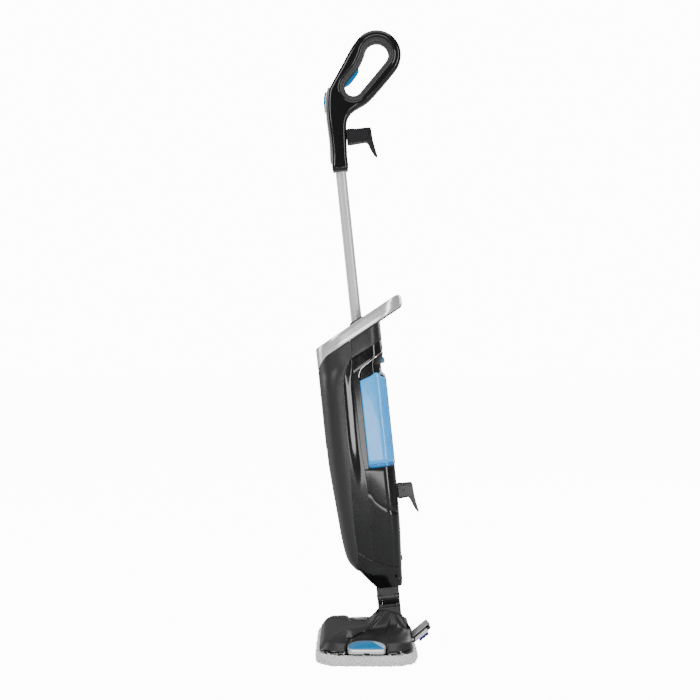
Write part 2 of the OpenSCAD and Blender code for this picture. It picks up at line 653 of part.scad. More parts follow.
module tank_port() {
    color(rubber) stick() translate([0, 0, port_h]) difference() {
        union() {
            rod_y(port_r, -21, bay_wall + 0.2);
            rod_y(port_r + 2.5, bay_wall - wall - 6, bay_wall - wall - 0.1);
        }
        rod_y(6.1, -19, 0);
        rod_y(2, -40, 0);
    }
}
module case_screws() {
    spots = [[26, -16, 82], [34, -16, 150], [36, -16, 215], [38, -16, 300], [38, -16, 400]];
    color(steel) stick() for (s = [-1, 1], p = spots) translate([s * p[0], p[1], p[2]])
        rotate([90, 0, 0]) {
            cylinder(r = 1.5, h = 12);
            translate([0, 0, -0.1]) cylinder(r = 3, h = 2.2);
        }
}
module cord_gland() {
    color(rubber) stick() translate([0, 0, inlet_h]) difference() {
        union() {
            rod_y(8, 26.8, 29.8);
            rod_y(5.5, 29, 34.8);
        }
        rod_y(3.6, 20, 60);
    }
}

// ---- cord hooks ----

hook_w = 24;
hook_low_h = 202;
hook_up_h = 856;
// Side outline of a hook whose arm runs from y0 to y1 about height zero, with a curved tine down.
function hook_outline(y0, y1) = concat([[y0, -13], [y0, 13], [y1, 13]],
    [for (t = [0.2:0.2:1]) [y1 + 7 * t * t, 13 - 55 * t]],
    [for (t = [1:-0.2:0]) [y1 + 3.6 * t * t - 8.8 * (1 - t), -42 + 29 * (1 - t)]]);
module hook(y0, y1) {
    difference() {
        side_extrude(-hook_w / 2, hook_w / 2) polygon(hook_outline(y0, y1));
        for (s = [-1, 1]) side_extrude(s * hook_w / 2 - 3, s * hook_w / 2 + 3)
            polygon([[y0 + 4, -9.5], [y0 + 4, 9.5], [y1 - 5, 9.5], [y1 - 9, -9.5]]);
    }
}
module lower_hook() {
    color(gloss_black) stick() translate([0, 0, hook_low_h]) {
        hook(38.7, 66.9);
        rod_y(3, 26, 39.5);
    }
}
module upper_hook() {
    color(gloss_black) stick() translate([0, 0, hook_up_h]) difference() {
        union() {
            hook(16, 59.3);
            rod_y(9, 14.6, 17);
        }
        rod_y(3.06, 0, 30);
    }
}
module hook_spindle() {
    color(steel) stick() translate([0, 0, hook_up_h]) {
        rod_y(3, 2, 30);
        rod_y(6, 0.5, 3);
    }
}

// ---- water tank ----

function tank_ring(h, inset, n = 10) =
    let (w = lookup(h, column_half_line) - inset, yr = 39.6 - inset, y0 = bay_front + inset)
    concat([for (i = [n:-1:-n]) let (a = 90 * i / n)
        [w * sgn_pow(sin(a), 0.7), y0 + 4 + (yr - y0 - 4) * pow(cos(a), 0.7)]],
        [[3 - w, y0], [-w / 2, y0], [0, y0], [w / 2, y0], [w - 3, y0]]);
module tank() {
    levels = [tank_low + 0.3, tank_low + 4, 300, 350, tank_high];
    inner = [tank_low + 3, tank_low + 6, 300, 350, tank_high];
    color(sky_blue) stick() {
        difference() {
            sheet([for (h = levels) raise(tank_ring(h, h < tank_low + 2 ? 2 : 0), h)],
                [for (h = inner) raise(tank_ring(h, wall), h)], ring = true);
            translate([0, 0, cap_h]) rod_y(13, -30, 0);
            translate([0, 0, port_h]) rod_y(4.5, -30, 0);
        }
        difference() {
            translate([0, 0, cap_h]) rod_y(15.5, -12, -6);
            translate([0, 0, cap_h]) rod_y(13, -30, 0);
        }
        translate([0, 0, tank_low + 0.3]) linear_extrude(2.7) polygon(tank_ring(tank_low, wall + 0.2));
    }
}
module tank_head() {
    top = [for (p = tank_ring(tank_high, 0.4)) [p[0], p[1], hood_z(p[1]) - 1.8]];
    low = [for (p = tank_ring(tank_high, 0.4)) [p[0], p[1], tank_high + 0.1]];
    color(gloss_black) stick() difference() {
        stack([low, top]);
        translate([0, 56, 432]) rotate([0, 90, 0]) translate([0, 0, -60]) cylinder(r = 26, h = 120);
        translate([-8.2, 20, latch_h - 6.2]) cube([16.4, 40, 12.4]);
        translate([-30, -2, tank_high - 5]) cube([60, 22, 22]);
    }
}
latch_h = 443;
module tank_latch() {
    color(signal_blue) stick() {
        translate([-8, 24, latch_h - 6]) cube([16, 13, 12]);
        translate([0, 0, latch_h]) rod_y(5.5, 36, 40);
    }
}
module tank_trim() {
    function ring(out, up) = [for (p = column_curve(450, bay_front + 1, out)) [p[0], p[1], hood_z(p[1]) + up]];
    color(silver) stick() sheet([ring(-0.6, -1.4), ring(-0.6, -0.2)], [ring(0.8, -1.4), ring(0.8, -0.2)]);
}
module tank_outlet() {
    color(gloss_black) stick() translate([0, 0, port_h]) difference() {
        union() {
            rod_y(4.5, -11.5, -5);
            rod_y(6, -18.5, bay_front - 0.1);
        }
        rod_y(2, -40, 0);
    }
}
module filler_cap() {
    color(signal_blue) stick() translate([0, 0, cap_h]) difference() {
        union() {
            rod_y(18.5, -18, -12.1);
            rod_y(12.8, -12.5, -4);
        }
        rod_y(10.5, -11, 0);
        for (s = [-1, 1]) translate([s * 12 - 7, -20, -12]) cube([14, 3.5, 24]);
    }
}

// ---- handle ----

loop_c = [83.7, 1000.1];
heel_c = [35.2, 944.3];
heel_r = 15.5;
handle_low = 797;
// Side outline of the whole handle, in (y, z) of the stick.
handle_outline = concat(
    [[8.9, handle_low], [12.6, 843], [14.4, 870], [16.5, 882], [21, 892], [28, 900], [38, 906.3], [58, 915.5]],
    arc(loop_c, loop_r, -41, 139, 24),
    [[-3.7, 955], [-9.5, 947.3], [-13.6, 934], [-16.4, 915], [-16.9, 896], [-16.1, 856], [-17.2, handle_low]]);
// Finger opening, drawn out by grow; the trigger side bulges into it.
function opening(grow) = concat(
    arc(loop_c, opening_r + grow, -41, 150, 16),
    [[60.1, 999] + grow * [-0.87, 0.5], [52.5, 985.8] + grow * [-0.87, 0.5],
        [43, 974] + grow * [-0.8, 0.6], [30, 961.5] + grow * [-0.75, 0.66]],
    arc(heel_c, heel_r + grow, 150, 319, 12));
liner_w = 8.5;
liner_gap = 0.15;
screw_spots = [[-4, 840], [-3, 886], [12, 908], [60, 929], [112, 1020]];
module handle_half(s) {
    skin = 3;
    color(gloss_black) stick() scale_x(s) difference() {
        side_extrude(0.05, handle_w / 2) difference() {
            polygon(handle_outline);
            polygon(opening(liner_w + liner_gap));
        }
        side_extrude(-1, handle_w / 2 - skin) polygon([[4, handle_low + 34], [8, 850], [9, 880], [22, 900],
            [12, 930], [2, 946], [-8, 930], [-12, 900], [-12, handle_low + 34]]);
        translate([0, socket_y, handle_low - 1]) cylinder(r = pole_r + 0.02, h = pole_high - handle_low + 2);
        translate([0, 0, hook_up_h]) rod_y(3.05, -2, 40);
        translate([-1, -22, 903]) cube([8.4, 10.5, 41]);
        side_extrude(-1, 5.4) polygon([[13, 943], [30, 950], [50, 974], [42, 988], arm(10, 14), arm(3.9, 8),
            arm(3.9, -8), arm(12, -16)]);
        translate([0, trigger_pivot[0], trigger_pivot[1]]) rod_x(1.5, -20, 8);
        for (p = screw_spots) translate([0, p[0], p[1]]) {
            rod_x(1.45, -1, s < 0 ? 20 : 3.3);
            if (s < 0) rod_x(2.9, handle_w / 2 - 2.1, 20);
        }
    }
}
module handle_left() { handle_half(-1); }
module handle_right() { handle_half(1); }
module grip_liner() {
    color(soft_grey) stick() difference() {
        side_extrude(2 - handle_w / 2, handle_w / 2 - 2) difference() {
            polygon(opening(liner_w));
            polygon(opening(0));
        }
        side_extrude(-5.4, 5.4) polygon([[13, 943], [24, 940], [54, 970], [54, 984], [42, 988], [28, 984], [6, 956]]);
        translate([0, trigger_pivot[0], trigger_pivot[1]]) rod_x(1.5, -20, 20);
    }
}
module handle_strip() {
    strip = [[-16.9, 812], [-15.8, 856], [-16.6, 896], [-16.1, 915], [-13.3, 934], [-8.9, 948.5], [-11.6, 950.5],
        [-16.2, 936], [-19.2, 915], [-19.8, 896], [-19, 856], [-20, 812]];
    color(silver) stick() difference() {
        side_extrude(-9.5, 9.5) polygon([for (p = strip) [p[0] - 0.35, p[1]]]);
        translate([-7.4, -30, 904]) cube([14.8, 30, 39]);
    }
}
module steam_button() {
    color(signal_blue) stick() side_extrude(-7, 7)
        polygon([[-21.6, 905], [-22.2, 915], [-21, 930], [-17.6, 942], [-14, 942], [-14.4, 925], [-14.6, 905]]);
}
// A point of the loop's front arm: n in from its outer line and u along it.
function arm(n, u) = [6.8 + 0.815 * n + 0.579 * u, 969.8 - 0.579 * n + 0.815 * u];
trigger_pivot = [19.5, 952.5];
module trigger() {
    color(signal_blue) stick() difference() {
        union() {
            side_extrude(-5, 5) polygon([[19.6, 946.8], [24.5, 948.5], [36, 958.5], [46.5, 969.5], [49, 976.5],
                [45, 978.5], [41, 974], [30, 963.5], [17, 954]]);
            translate([0, trigger_pivot[0], trigger_pivot[1]]) rod_x(3.6, -5, 5);
        }
        translate([0, trigger_pivot[0], trigger_pivot[1]]) rod_x(1.55, -20, 20);
    }
}
module trigger_pin() {
    color(steel) stick() translate([0, trigger_pivot[0], trigger_pivot[1]]) rod_x(1.5, -8, 8);
}
module trigger_spring() {
    color(steel) stick() for (k = [0:4]) let (p = arm(11.2 + 1.1 * k, 1.5))
        translate([0, p[0], p[1]]) rotate([55, 0, 0])
            rotate_extrude() translate([2.2, 0]) circle(r = 0.35, $fn = 16);
}
module trigger_switch() {
    color(soft_grey) stick() side_extrude(-3, 3) polygon([arm(4, -6.4), arm(10.6, -6.4), arm(10.6, 6.4), arm(4, 6.4)]);
}
module handle_screws() {
    color(steel) stick() for (p = screw_spots) translate([-handle_w / 2, p[0], p[1]]) {
        rod_x(1.4, 1, handle_w / 2 + 3);
        rod_x(2.8, 0.3, 2);
    }
}

foot_cover();
base_rim();
foot_base();
steam_diffuser();
pad_tray();
mop_pad();
axle_bushes();
foot_pins();
tab_springs();
tab_frame_left();
tab_cap_left();
tab_frame_right();
tab_cap_right();
scrubber_frame();
scrubber_top();
scrubber_block();
scrubber_bristles();
yoke();
recline_axle();
roll_pin();
neck();
boot();
front_shell();
front_trim();
chassis();
back_collar();
tank_hood();
column_cover();
rear_cover();
carry_band();
band_grip();
top_deck();
pole();
boiler();
pump();
control_board();
water_hose();
steam_hose();
tank_port();
case_screws();
cord_gland();
lower_hook();
tank();
tank_head();
tank_trim();
tank_outlet();
filler_cap();
tank_latch();
handle_left();
handle_right();
grip_liner();
handle_strip();
steam_button();
trigger();
trigger_pin();
trigger_spring();
trigger_switch();
upper_hook();
hook_spindle();
handle_screws();
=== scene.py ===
# Steam mop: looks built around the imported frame. Metres in Blender, millimetres in the sizes below.
import bpy
import json
import math
import random
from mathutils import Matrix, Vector, noise
from mathutils.geometry import tessellate_polygon


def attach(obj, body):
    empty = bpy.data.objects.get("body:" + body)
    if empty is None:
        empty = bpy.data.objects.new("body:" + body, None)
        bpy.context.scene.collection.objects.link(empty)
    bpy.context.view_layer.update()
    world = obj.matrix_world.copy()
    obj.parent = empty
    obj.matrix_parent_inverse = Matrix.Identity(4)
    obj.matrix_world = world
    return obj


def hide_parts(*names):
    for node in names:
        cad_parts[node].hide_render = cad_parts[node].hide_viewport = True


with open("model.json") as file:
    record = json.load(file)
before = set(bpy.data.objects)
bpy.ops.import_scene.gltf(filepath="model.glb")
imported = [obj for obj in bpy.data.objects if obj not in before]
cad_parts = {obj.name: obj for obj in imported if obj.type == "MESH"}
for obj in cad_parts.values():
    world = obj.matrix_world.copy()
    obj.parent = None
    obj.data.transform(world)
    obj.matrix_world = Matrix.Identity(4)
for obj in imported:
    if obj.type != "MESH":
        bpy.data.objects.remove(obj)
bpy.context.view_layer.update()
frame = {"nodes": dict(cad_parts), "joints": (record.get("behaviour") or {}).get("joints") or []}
nodes = frame["nodes"]
joints = {j["name"]: j for j in frame["joints"]}
mm = 0.001
sideWord = {1: "Right", -1: "Left"}
print("frame loaded:", len(nodes), "nodes")

# the camera: level, square to the mop's right side

view = {"distance": 2.6, "back": -0.0309, "height": 0.549, "lens": 72.9}
camera = bpy.data.objects.new("camera", bpy.data.cameras.new("camera"))
bpy.context.scene.collection.objects.link(camera)
camera.location = (view["distance"], view["back"], view["height"])
camera.rotation_euler = (math.pi / 2, 0, math.pi / 2)
camera.data.lens = view["lens"]
camera.data.clip_end = 100
bpy.context.scene.camera = camera

# the leaning stick's own axes: y back, z up along the stick

backAxis = Vector(joints["roll"]["axis"]).normalized()
upAxis = Vector((1, 0, 0)).cross(backAxis)
rollHeight = 12  # of the roll pin above the stick's datum
stickZero = Vector(joints["roll"]["pos_m"]) - upAxis * rollHeight * mm


def onStick(x, y, z):
    return stickZero + (Vector((x, 0, 0)) + backAxis * y + upAxis * z) * mm


def onFloor(x, y, z):
    return Vector((x, y, z)) * mm


# shader maths as Python expressions: a Wire is one socket, and each operation on it adds a Math node

class Wire:
    def __init__(self, tree, socket):
        self.tree, self.socket = tree, socket

    def math(self, operation, first, second):
        return Shades(self.tree).node("Math", {"operation": operation}, {0: first, 1: second})

    def __add__(self, other): return self.math("ADD", self, other)
    def __radd__(self, other): return self.math("ADD", other, self)
    def __sub__(self, other): return self.math("SUBTRACT", self, other)
    def __rsub__(self, other): return self.math("SUBTRACT", other, self)
    def __mul__(self, other): return self.math("MULTIPLY", self, other)
    def __rmul__(self, other): return self.math("MULTIPLY", other, self)


def plug(tree, socket, value):
    if isinstance(value, Wire):
        tree.links.new(value.socket, socket)
    elif isinstance(value, (tuple, list)) and len(value) == 3 and socket.type == "RGBA":
        socket.default_value = (*value, 1)
    else:
        socket.default_value = value


class Shades:
    # Adds nodes to one tree, a material's or the world's
    def __init__(self, tree):
        self.tree = tree

    def node(self, kind, settings=None, sockets=None, output=0):
        node = self.tree.nodes.new("ShaderNode" + kind)
        for name, value in (settings or {}).items():
            setattr(node, name, value)
        for name, value in (sockets or {}).items():
            plug(self.tree, node.inputs[name], value)
        return Wire(self.tree, node.outputs[output])

    def mix(self, amount, first, second):
        return self.node("Mix", {"data_type": "RGBA"}, {0: amount, 6: first, 7: second}, output=2)


class Finish(Shades):
    # One material and its Principled shader
    def __init__(self, name, **constants):
        self.material = bpy.data.materials.new(name)
        self.material.use_nodes = True
        super().__init__(self.material.node_tree)
        self.shader = self.tree.nodes["Principled BSDF"]
        self.set(**constants)

    def set(self, **inputs):
        for name, value in inputs.items():
            plug(self.tree, self.shader.inputs[name.replace("_", " ")], value)
        return self

    def place(self, stretch=(1, 1, 1)):
        point = self.node("TexCoord", output="Object")
        return self.node("VectorMath", {"operation": "MULTIPLY"}, {0: point, 1: stretch})

    def grain(self, scale, detail=4, rough=0.55, stretch=(1, 1, 1)):
        return self.node("TexNoise", None, {"Vector": self.place(stretch), "Scale": scale, "Detail": detail,
                                            "Roughness": rough})

    def between(self, value, low, high, out=(0, 1)):
        return self.node("MapRange", {"clamp": True}, {"Value": value, "From Min": low, "From Max": high,
                                                       "To Min": out[0], "To Max": out[1]})

    def bump(self, height, depth, strength=1.0):
        normal = self.node("Bump", None, {"Height": height, "Distance": depth * mm, "Strength": strength})
        return self.set(Normal=normal)

    def edges(self, low=0.52, high=0.62):
        return self.between(self.node("NewGeometry", output="Pointiness"), low, high)


# finishes

def satinMoulding(name, colour, roughness=0.4, texture=0.035):
    # spark-eroded moulding: fine even grain, faint rubbing on the edges, a little dust
    f = Finish(name, Specular_IOR_Level=0.5)
    grain = f.grain(1500, 3)
    cloud = f.grain(9, 3)
    rubbed = f.edges() * f.between(f.grain(160, 4), 0.42, 0.7)
    lighter = tuple(min(1, c * 1.9 + 0.02) for c in colour)
    tint = tuple(c * 1.12 for c in colour)
    f.set(Base_Color=f.mix(rubbed * 0.35, f.mix(f.between(cloud, 0.35, 0.7), colour, tint), lighter))
    f.set(Roughness=roughness + (grain - 0.5) * 0.12 + (cloud - 0.5) * 0.08)
    f.bump(grain, texture, 0.5)
    return f.material


def glossMoulding(name, colour, roughness=0.09):
    # polished moulding: slight orange peel, finger smudges and hairline scuffs
    f = Finish(name, Specular_IOR_Level=0.5)
    smudge = f.between(f.grain(22, 5, 0.6), 0.46, 0.68)
    hair = f.between(f.grain(90, 6, 0.7, (1, 14, 1)), 0.6, 0.72)
    rubbed = f.edges() * f.between(f.grain(140, 4), 0.45, 0.7)
    f.set(Base_Color=f.mix(rubbed * 0.3, colour, tuple(min(1, c * 2.2 + 0.03) for c in colour)))
    f.set(Roughness=roughness + smudge * 0.07 + hair * 0.05)
    f.bump(f.grain(60, 2) + hair * -0.15, 0.05, 0.25)
    return f.material


def brushedMetal(name, colour, roughness, stretch, metallic=1.0):
    # fine drawn lines along the part, with slow changes in sheen
    f = Finish(name)
    lines = f.grain(420, 5, 0.7, stretch)
    cloud = f.grain(12, 3)
    darker = tuple(c * 0.86 for c in colour)
    f.set(Base_Color=f.mix(f.between(lines, 0.3, 0.7) * 0.5 + f.between(cloud, 0.3, 0.7) * 0.2, colour, darker))
    f.set(Metallic=metallic, Roughness=roughness + (lines - 0.5) * 0.14 + (cloud - 0.5) * 0.06)
    f.bump(lines, 0.02, 0.35)
    return f.material


def clearBlue(name="tankBlue", pale=(0.05, 0.47, 0.95), deep=(0.008, 0.20, 0.55)):
    # tinted clear moulding: deeper colour where it is seen edge on, which is painted shade at its rims, and towards
    # its foot
    f = Finish(name, IOR=1.46, Transmission_Weight=0.3, Coat_Weight=0.4)
    # painted shade: the Facing mask turns the rims deep blue where the wall is seen edge on
    edge = f.node("LayerWeight", None, {"Blend": 0.3}, output="Facing")
    cloud = f.grain(14, 3)
    face = f.mix(f.between(cloud, 0.35, 0.7), pale, tuple(min(1, c * 1.08 + 0.02) for c in pale))
    colour = f.mix(f.between(edge, 0.45, 0.95), face, deep)
    f.set(Base_Color=colour, Emission_Color=colour, Emission_Strength=0.22)  # painted glow in the tank's own colour, standing in for light passing through the water
    f.set(Roughness=0.13 + f.between(f.grain(40, 4), 0.4, 0.75) * 0.12)
    f.bump(f.grain(35, 2), 0.08, 0.2)
    return f.material


def brightBlue(name, colour):
    f = Finish(name, Coat_Weight=0.3)
    grain = f.grain(700, 3)
    worn = f.edges(0.51, 0.6)
    f.set(Base_Color=f.mix(worn * 0.4, f.mix(f.between(f.grain(20, 3), 0.3, 0.7), colour,
                                            tuple(c * 0.85 for c in colour)),
                           tuple(min(1, c * 1.4 + 0.04) for c in colour)))
    f.set(Roughness=0.28 + (grain - 0.5) * 0.12)
    f.bump(grain, 0.03, 0.3)
    return f.material


def tabFace():
    # pale blue inlay with a deeper swoosh sweeping across its front lower corner
    f = Finish("tabFace", Coat_Weight=0.5)
    point = f.node("TexCoord", output="Object")
    y, z = (f.node("SeparateXYZ", None, {0: point}, output=k) for k in (1, 2))
    curve = (y * 1000 + 36) * 0.018
    line = 0.0467 - (curve * curve * 0.0062) - (y + 0.036) * 0.105
    deep = f.between(line - z, -0.00015, 0.00015)
    cloud = f.grain(30, 3)
    pale = f.mix(f.between(cloud, 0.3, 0.7), (0.42, 0.65, 0.90), (0.50, 0.72, 0.93))
    f.set(Base_Color=f.mix(deep, pale, (0.012, 0.24, 0.55)))
    f.set(Roughness=0.2 + (f.grain(300, 3) - 0.5) * 0.1)
    f.bump(f.grain(300, 2), 0.02, 0.2)
    return f.material


def softRubber(name, colour, roughness=0.6):
    f = Finish(name)
    grain = f.grain(900, 3)
    dust = f.between(f.grain(45, 5, 0.65), 0.5, 0.75)
    f.set(Base_Color=f.mix(dust * 0.3, colour, tuple(min(1, c * 1.6 + 0.015) for c in colour)))
    f.set(Roughness=roughness + (grain - 0.5) * 0.15)
    f.bump(grain, 0.06, 0.5)
    return f.material


def chenille():
    # white looped pile: fibres catch light, and painted shade makes the valleys between tufts greyer
    # a faint white glow is painted light, standing in for light bounced up from the pale floor
    f = Finish("chenille", Roughness=0.95, Emission_Color=(1, 1, 1), Emission_Strength=0.12, Sheen_Weight=0.35,
               Sheen_Roughness=0.4, Subsurface_Weight=0.12, Subsurface_Radius=(0.004, 0.004, 0.004))
    fibre = f.grain(2600, 6, 0.75)
    tuft = f.node("TexVoronoi", {"feature": "F1"}, {"Vector": f.place(), "Scale": 420})
    # painted shade: concave places between the tufts turn grey, as if in shadow
    valleyShadeMask = f.between(f.node("NewGeometry", output="Pointiness"), 0.40, 0.53)
    soil = f.between(f.grain(28, 5, 0.6), 0.4, 0.75)
    white = f.mix(soil * 0.5, (0.97, 0.97, 0.96), (0.86, 0.86, 0.85))
    f.set(Base_Color=f.mix(valleyShadeMask * (0.6 + f.between(fibre, 0.35, 0.65) * 0.4), (0.34, 0.34, 0.35), white))
    f.bump(fibre * 0.6 + (1 - tuft) * 0.5, 0.9, 0.8)
    return f.material


def nylon(name, colour):
    f = Finish(name, Roughness=0.4)
    f.set(Base_Color=f.mix(f.grain(600, 3), colour, tuple(min(1, c * 1.7) for c in colour)))
    f.bump(f.grain(1200, 2), 0.05, 0.3)
    return f.material


finishes = {
    "satinBlack": satinMoulding("satinBlack", (0.019, 0.019, 0.020), 0.36),
    "deepBlack": glossMoulding("deepBlack", (0.004, 0.004, 0.0045), 0.1),
    "jointBlack": satinMoulding("jointBlack", (0.012, 0.012, 0.013), 0.32),
    "linerGrey": softRubber("linerGrey", (0.035, 0.035, 0.037), 0.42),
    "bandSilver": brushedMetal("bandSilver", (0.88, 0.88, 0.885), 0.24, (1, 1, 9), 0.62),
    "stripSilver": brushedMetal("stripSilver", (0.78, 0.78, 0.79), 0.22, (1, 1, 0.1), 0.9),
    "tabSilver": brushedMetal("tabSilver", (0.74, 0.74, 0.76), 0.28, (1, 0.1, 1), 0.65),
    "poleMetal": brushedMetal("poleMetal", (0.80, 0.80, 0.81), 0.36, (1, 1, 0.06), 0.45),
    "paddleGrey": satinMoulding("paddleGrey", (0.36, 0.36, 0.37), 0.4),
    "steel": brushedMetal("steel", (0.6, 0.6, 0.62), 0.25, (1, 0.3, 1)),
    "brass": brushedMetal("brass", (0.62, 0.45, 0.18), 0.3, (1, 0.3, 1)),
    "tankBlue": clearBlue(),
    "tankDeep": clearBlue("tankDeep", (0.02, 0.22, 0.50), (0.01, 0.14, 0.36)),
    "signalBlue": brightBlue("signalBlue", (0.003, 0.26, 0.58)),
    "tabFace": tabFace(),
    "chenille": chenille(),
    "whiteMoulding": satinMoulding("whiteMoulding", (0.72, 0.72, 0.72), 0.35),
    "tuftIndigo": nylon("tuftIndigo", (0.045, 0.035, 0.24)),
    "ribRubber": softRubber("ribRubber", (0.012, 0.012, 0.012), 0.55),
    "hoseRubber": softRubber("hoseRubber", (0.55, 0.55, 0.56), 0.5),
    "boardGreen": satinMoulding("boardGreen", (0.02, 0.12, 0.05), 0.4),
}
print("finishes made:", len(finishes))


# mesh tools

def addPiece(name, points, faces, finish, body, swaps=(), place=onStick, angle=35):
    mesh = bpy.data.meshes.new(name)
    mesh.from_pydata([place(*p) for p in points], [], faces)
    mesh.validate()
    mesh.update()
    piece = bpy.data.objects.new(name, mesh)
    bpy.context.scene.collection.objects.link(piece)
    mesh.materials.append(finishes[finish])
    mesh.polygons.foreach_set("use_smooth", [True] * len(mesh.polygons))
    mesh.set_sharp_from_angle(angle=math.radians(angle))
    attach(piece, body)
    if swaps:
        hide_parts(*swaps)
    return piece


def grid(rows, ring=False, flip=False):
    # points and quads of a net of rows; ring joins each row's end to its start
    columns = len(rows[0])
    points = [p for row in rows for p in row]
    faces = []
    for i in range(len(rows) - 1):
        for j in range(columns if ring else columns - 1):
            k = (j + 1) % columns
            face = [i * columns + j, i * columns + k, (i + 1) * columns + k, (i + 1) * columns + j]
            faces.append(face[::-1] if flip else face)
    return points, faces


def capped(rows, low=True, high=True):
    # a ring net with a face across its low end, its high end or both
    points, faces = grid(rows, ring=True)
    columns = len(rows[0])
    for closes, start, turn in ((low, 0, True), (high, (len(rows) - 1) * columns, False)):
        if closes:
            ring = [start + j for j in range(columns)]
            faces.append(ring[::-1] if turn else ring)
    return points, faces


def addNet(points, faces, net):
    base = len(points)
    points += net[0]
    faces += [[base + k for k in face] for face in net[1]]


def thicken(piece, depth):
    solid = piece.modifiers.new("wall", "SOLIDIFY")
    solid.thickness = depth * mm
    solid.offset = -1


def edged(piece, width, segments=3, angle=32):
    # a hairline bevel, width in micrometres: it splits the edges for shading and does not round them visibly
    bevel = piece.modifiers.new("edge", "BEVEL")
    bevel.width = width * mm * mm
    bevel.segments = segments
    bevel.limit_method = "ANGLE"
    bevel.angle_limit = math.radians(angle)


def mixTo(a, b, t):
    return a + (b - a) * t


def ease(t):
    t = min(1, max(0, t))
    return t * t * (3 - 2 * t)


def along(table, x):
    # smooth curve through [x, value] pairs, without overshoot
    if x <= table[0][0]:
        return table[0][1]
    if x >= table[-1][0]:
        return table[-1][1]
    slopes = [(b[1] - a[1]) / (b[0] - a[0]) for a, b in zip(table, table[1:])]
    tangents = [slopes[0]] + [2 * a * b / (a + b) if a * b > 0 else 0 for a, b in zip(slopes, slopes[1:])]
    tangents.append(slopes[-1])
    for i, (a, b) in enumerate(zip(table, table[1:])):
        if x <= b[0]:
            width = b[0] - a[0]
            t = (x - a[0]) / width
            return hermite(t, a[1], width * tangents[i], width * tangents[i + 1], b[1])


def turnAngles(count):
    return [2 * math.pi * k / count for k in range(count)]


def turned(rings, count, at):
    # rows of a turned form from [radius, depth] pairs; at says where a point across and along the axis lies
    return [[at(r * math.cos(a), r * math.sin(a), depth) for a in turnAngles(count)] for r, depth in rings]


def power(value, p):
    return math.copysign(abs(value) ** p, value)


def spread(low, high, count):
    return [mixTo(low, high, i / (count - 1)) for i in range(count)]


def circleArc(centre, radius, start, end, count):
    # start and end in degrees
    return [(centre[0] + radius * math.cos(math.radians(a)), centre[1] + radius * math.sin(math.radians(a)))
            for a in spread(start, end, count)]


def cornered(w, d, r, count):
    # the four quarter turns of a rectangle with round corners
    return circleArc((w - r, d - r), r, 0, 90, count), circleArc((r - w, d - r), r, 90, 180, count), \
        circleArc((r - w, r - d), r, 180, 270, count), circleArc((w - r, r - d), r, 270, 360, count)


def evenly(line, count, closed=True):
    # points at equal distances along a line of vectors, and its length
    if closed:
        line = line + line[:1]
    lengths = [0]
    for a, b in zip(line, line[1:]):
        lengths.append(lengths[-1] + (b - a).length)
    result, k = [], 0
    for i in range(count):
        target = lengths[-1] * i / (count if closed else count - 1)
        while k < len(line) - 2 and lengths[k + 1] < target:
            k += 1
        span = lengths[k + 1] - lengths[k] or 1
        result.append(line[k].lerp(line[k + 1], (target - lengths[k]) / span))
    return result, lengths[-1]


def hermite(t, a, leave, arrive, b):
    # Hermite curve from a to b with the given tangents
    return ((2 * t ** 3 - 3 * t * t + 1) * a + (t ** 3 - 2 * t * t + t) * leave
            + (3 * t * t - 2 * t ** 3) * b + (t ** 3 - t * t) * arrive)


def smoothPath(points, count, closed=False):
    # evenly spaced points on a smooth curve through the given ones, however unevenly those are spaced
    n = len(points)
    spans = n if closed else n - 1
    dense = []
    for i in range(spans):
        near = [(i + k) % n if closed else min(max(i + k, 0), n - 1) for k in (-1, 0, 1, 2)]
        a, b, c, d = (Vector(points[k]) for k in near)
        f, g, h = (max(1e-4, (r - q).length) ** 0.5 for q, r in ((a, b), (b, c), (c, d)))
        leave = c - b if a == b else ((b - a) / f - (c - a) / (f + g) + (c - b) / g) * g
        arrive = c - b if c == d else ((c - b) / g - (d - b) / (g + h) + (d - c) / h) * g
        dense += [hermite(s / 16, b, leave, arrive, c) for s in range(16)]
    return evenly(dense if closed else dense + [Vector(points[-1])], count, closed)[0]


def grown(line, reach):
    # a closed flat line moved outwards by reach
    n = len(line)
    moved = []
    for i in range(n):
        d = line[(i + 1) % n] - line[i - 1]
        moved.append(line[i] + Vector((d.y, -d.x)).normalized() * reach)
    return moved


def areaOf(line):
    # positive when the closed line runs anticlockwise
    return sum(a.x * b.y - b.x * a.y for a, b in zip(line, line[1:] + line[:1])) / 2


def drawnIn(line, depth):
    # moved inwards by depth; points that would fold over a corner gather on its crease instead
    moved, n = grown(line, -depth), len(line)
    good = [min((m - q).length_squared for q in line) > (0.97 * depth - 0.02) ** 2 for m in moved]
    if depth < 0.05 or not any(good):
        return moved
    for i in range(n):
        if not good[i]:
            back = next(k for k in range(1, n) if good[(i - k) % n])
            ahead = next(k for k in range(1, n) if good[(i + k) % n])
            moved[i] = moved[(i - back) % n].lerp(moved[(i + ahead) % n], back / (back + ahead))
    return moved


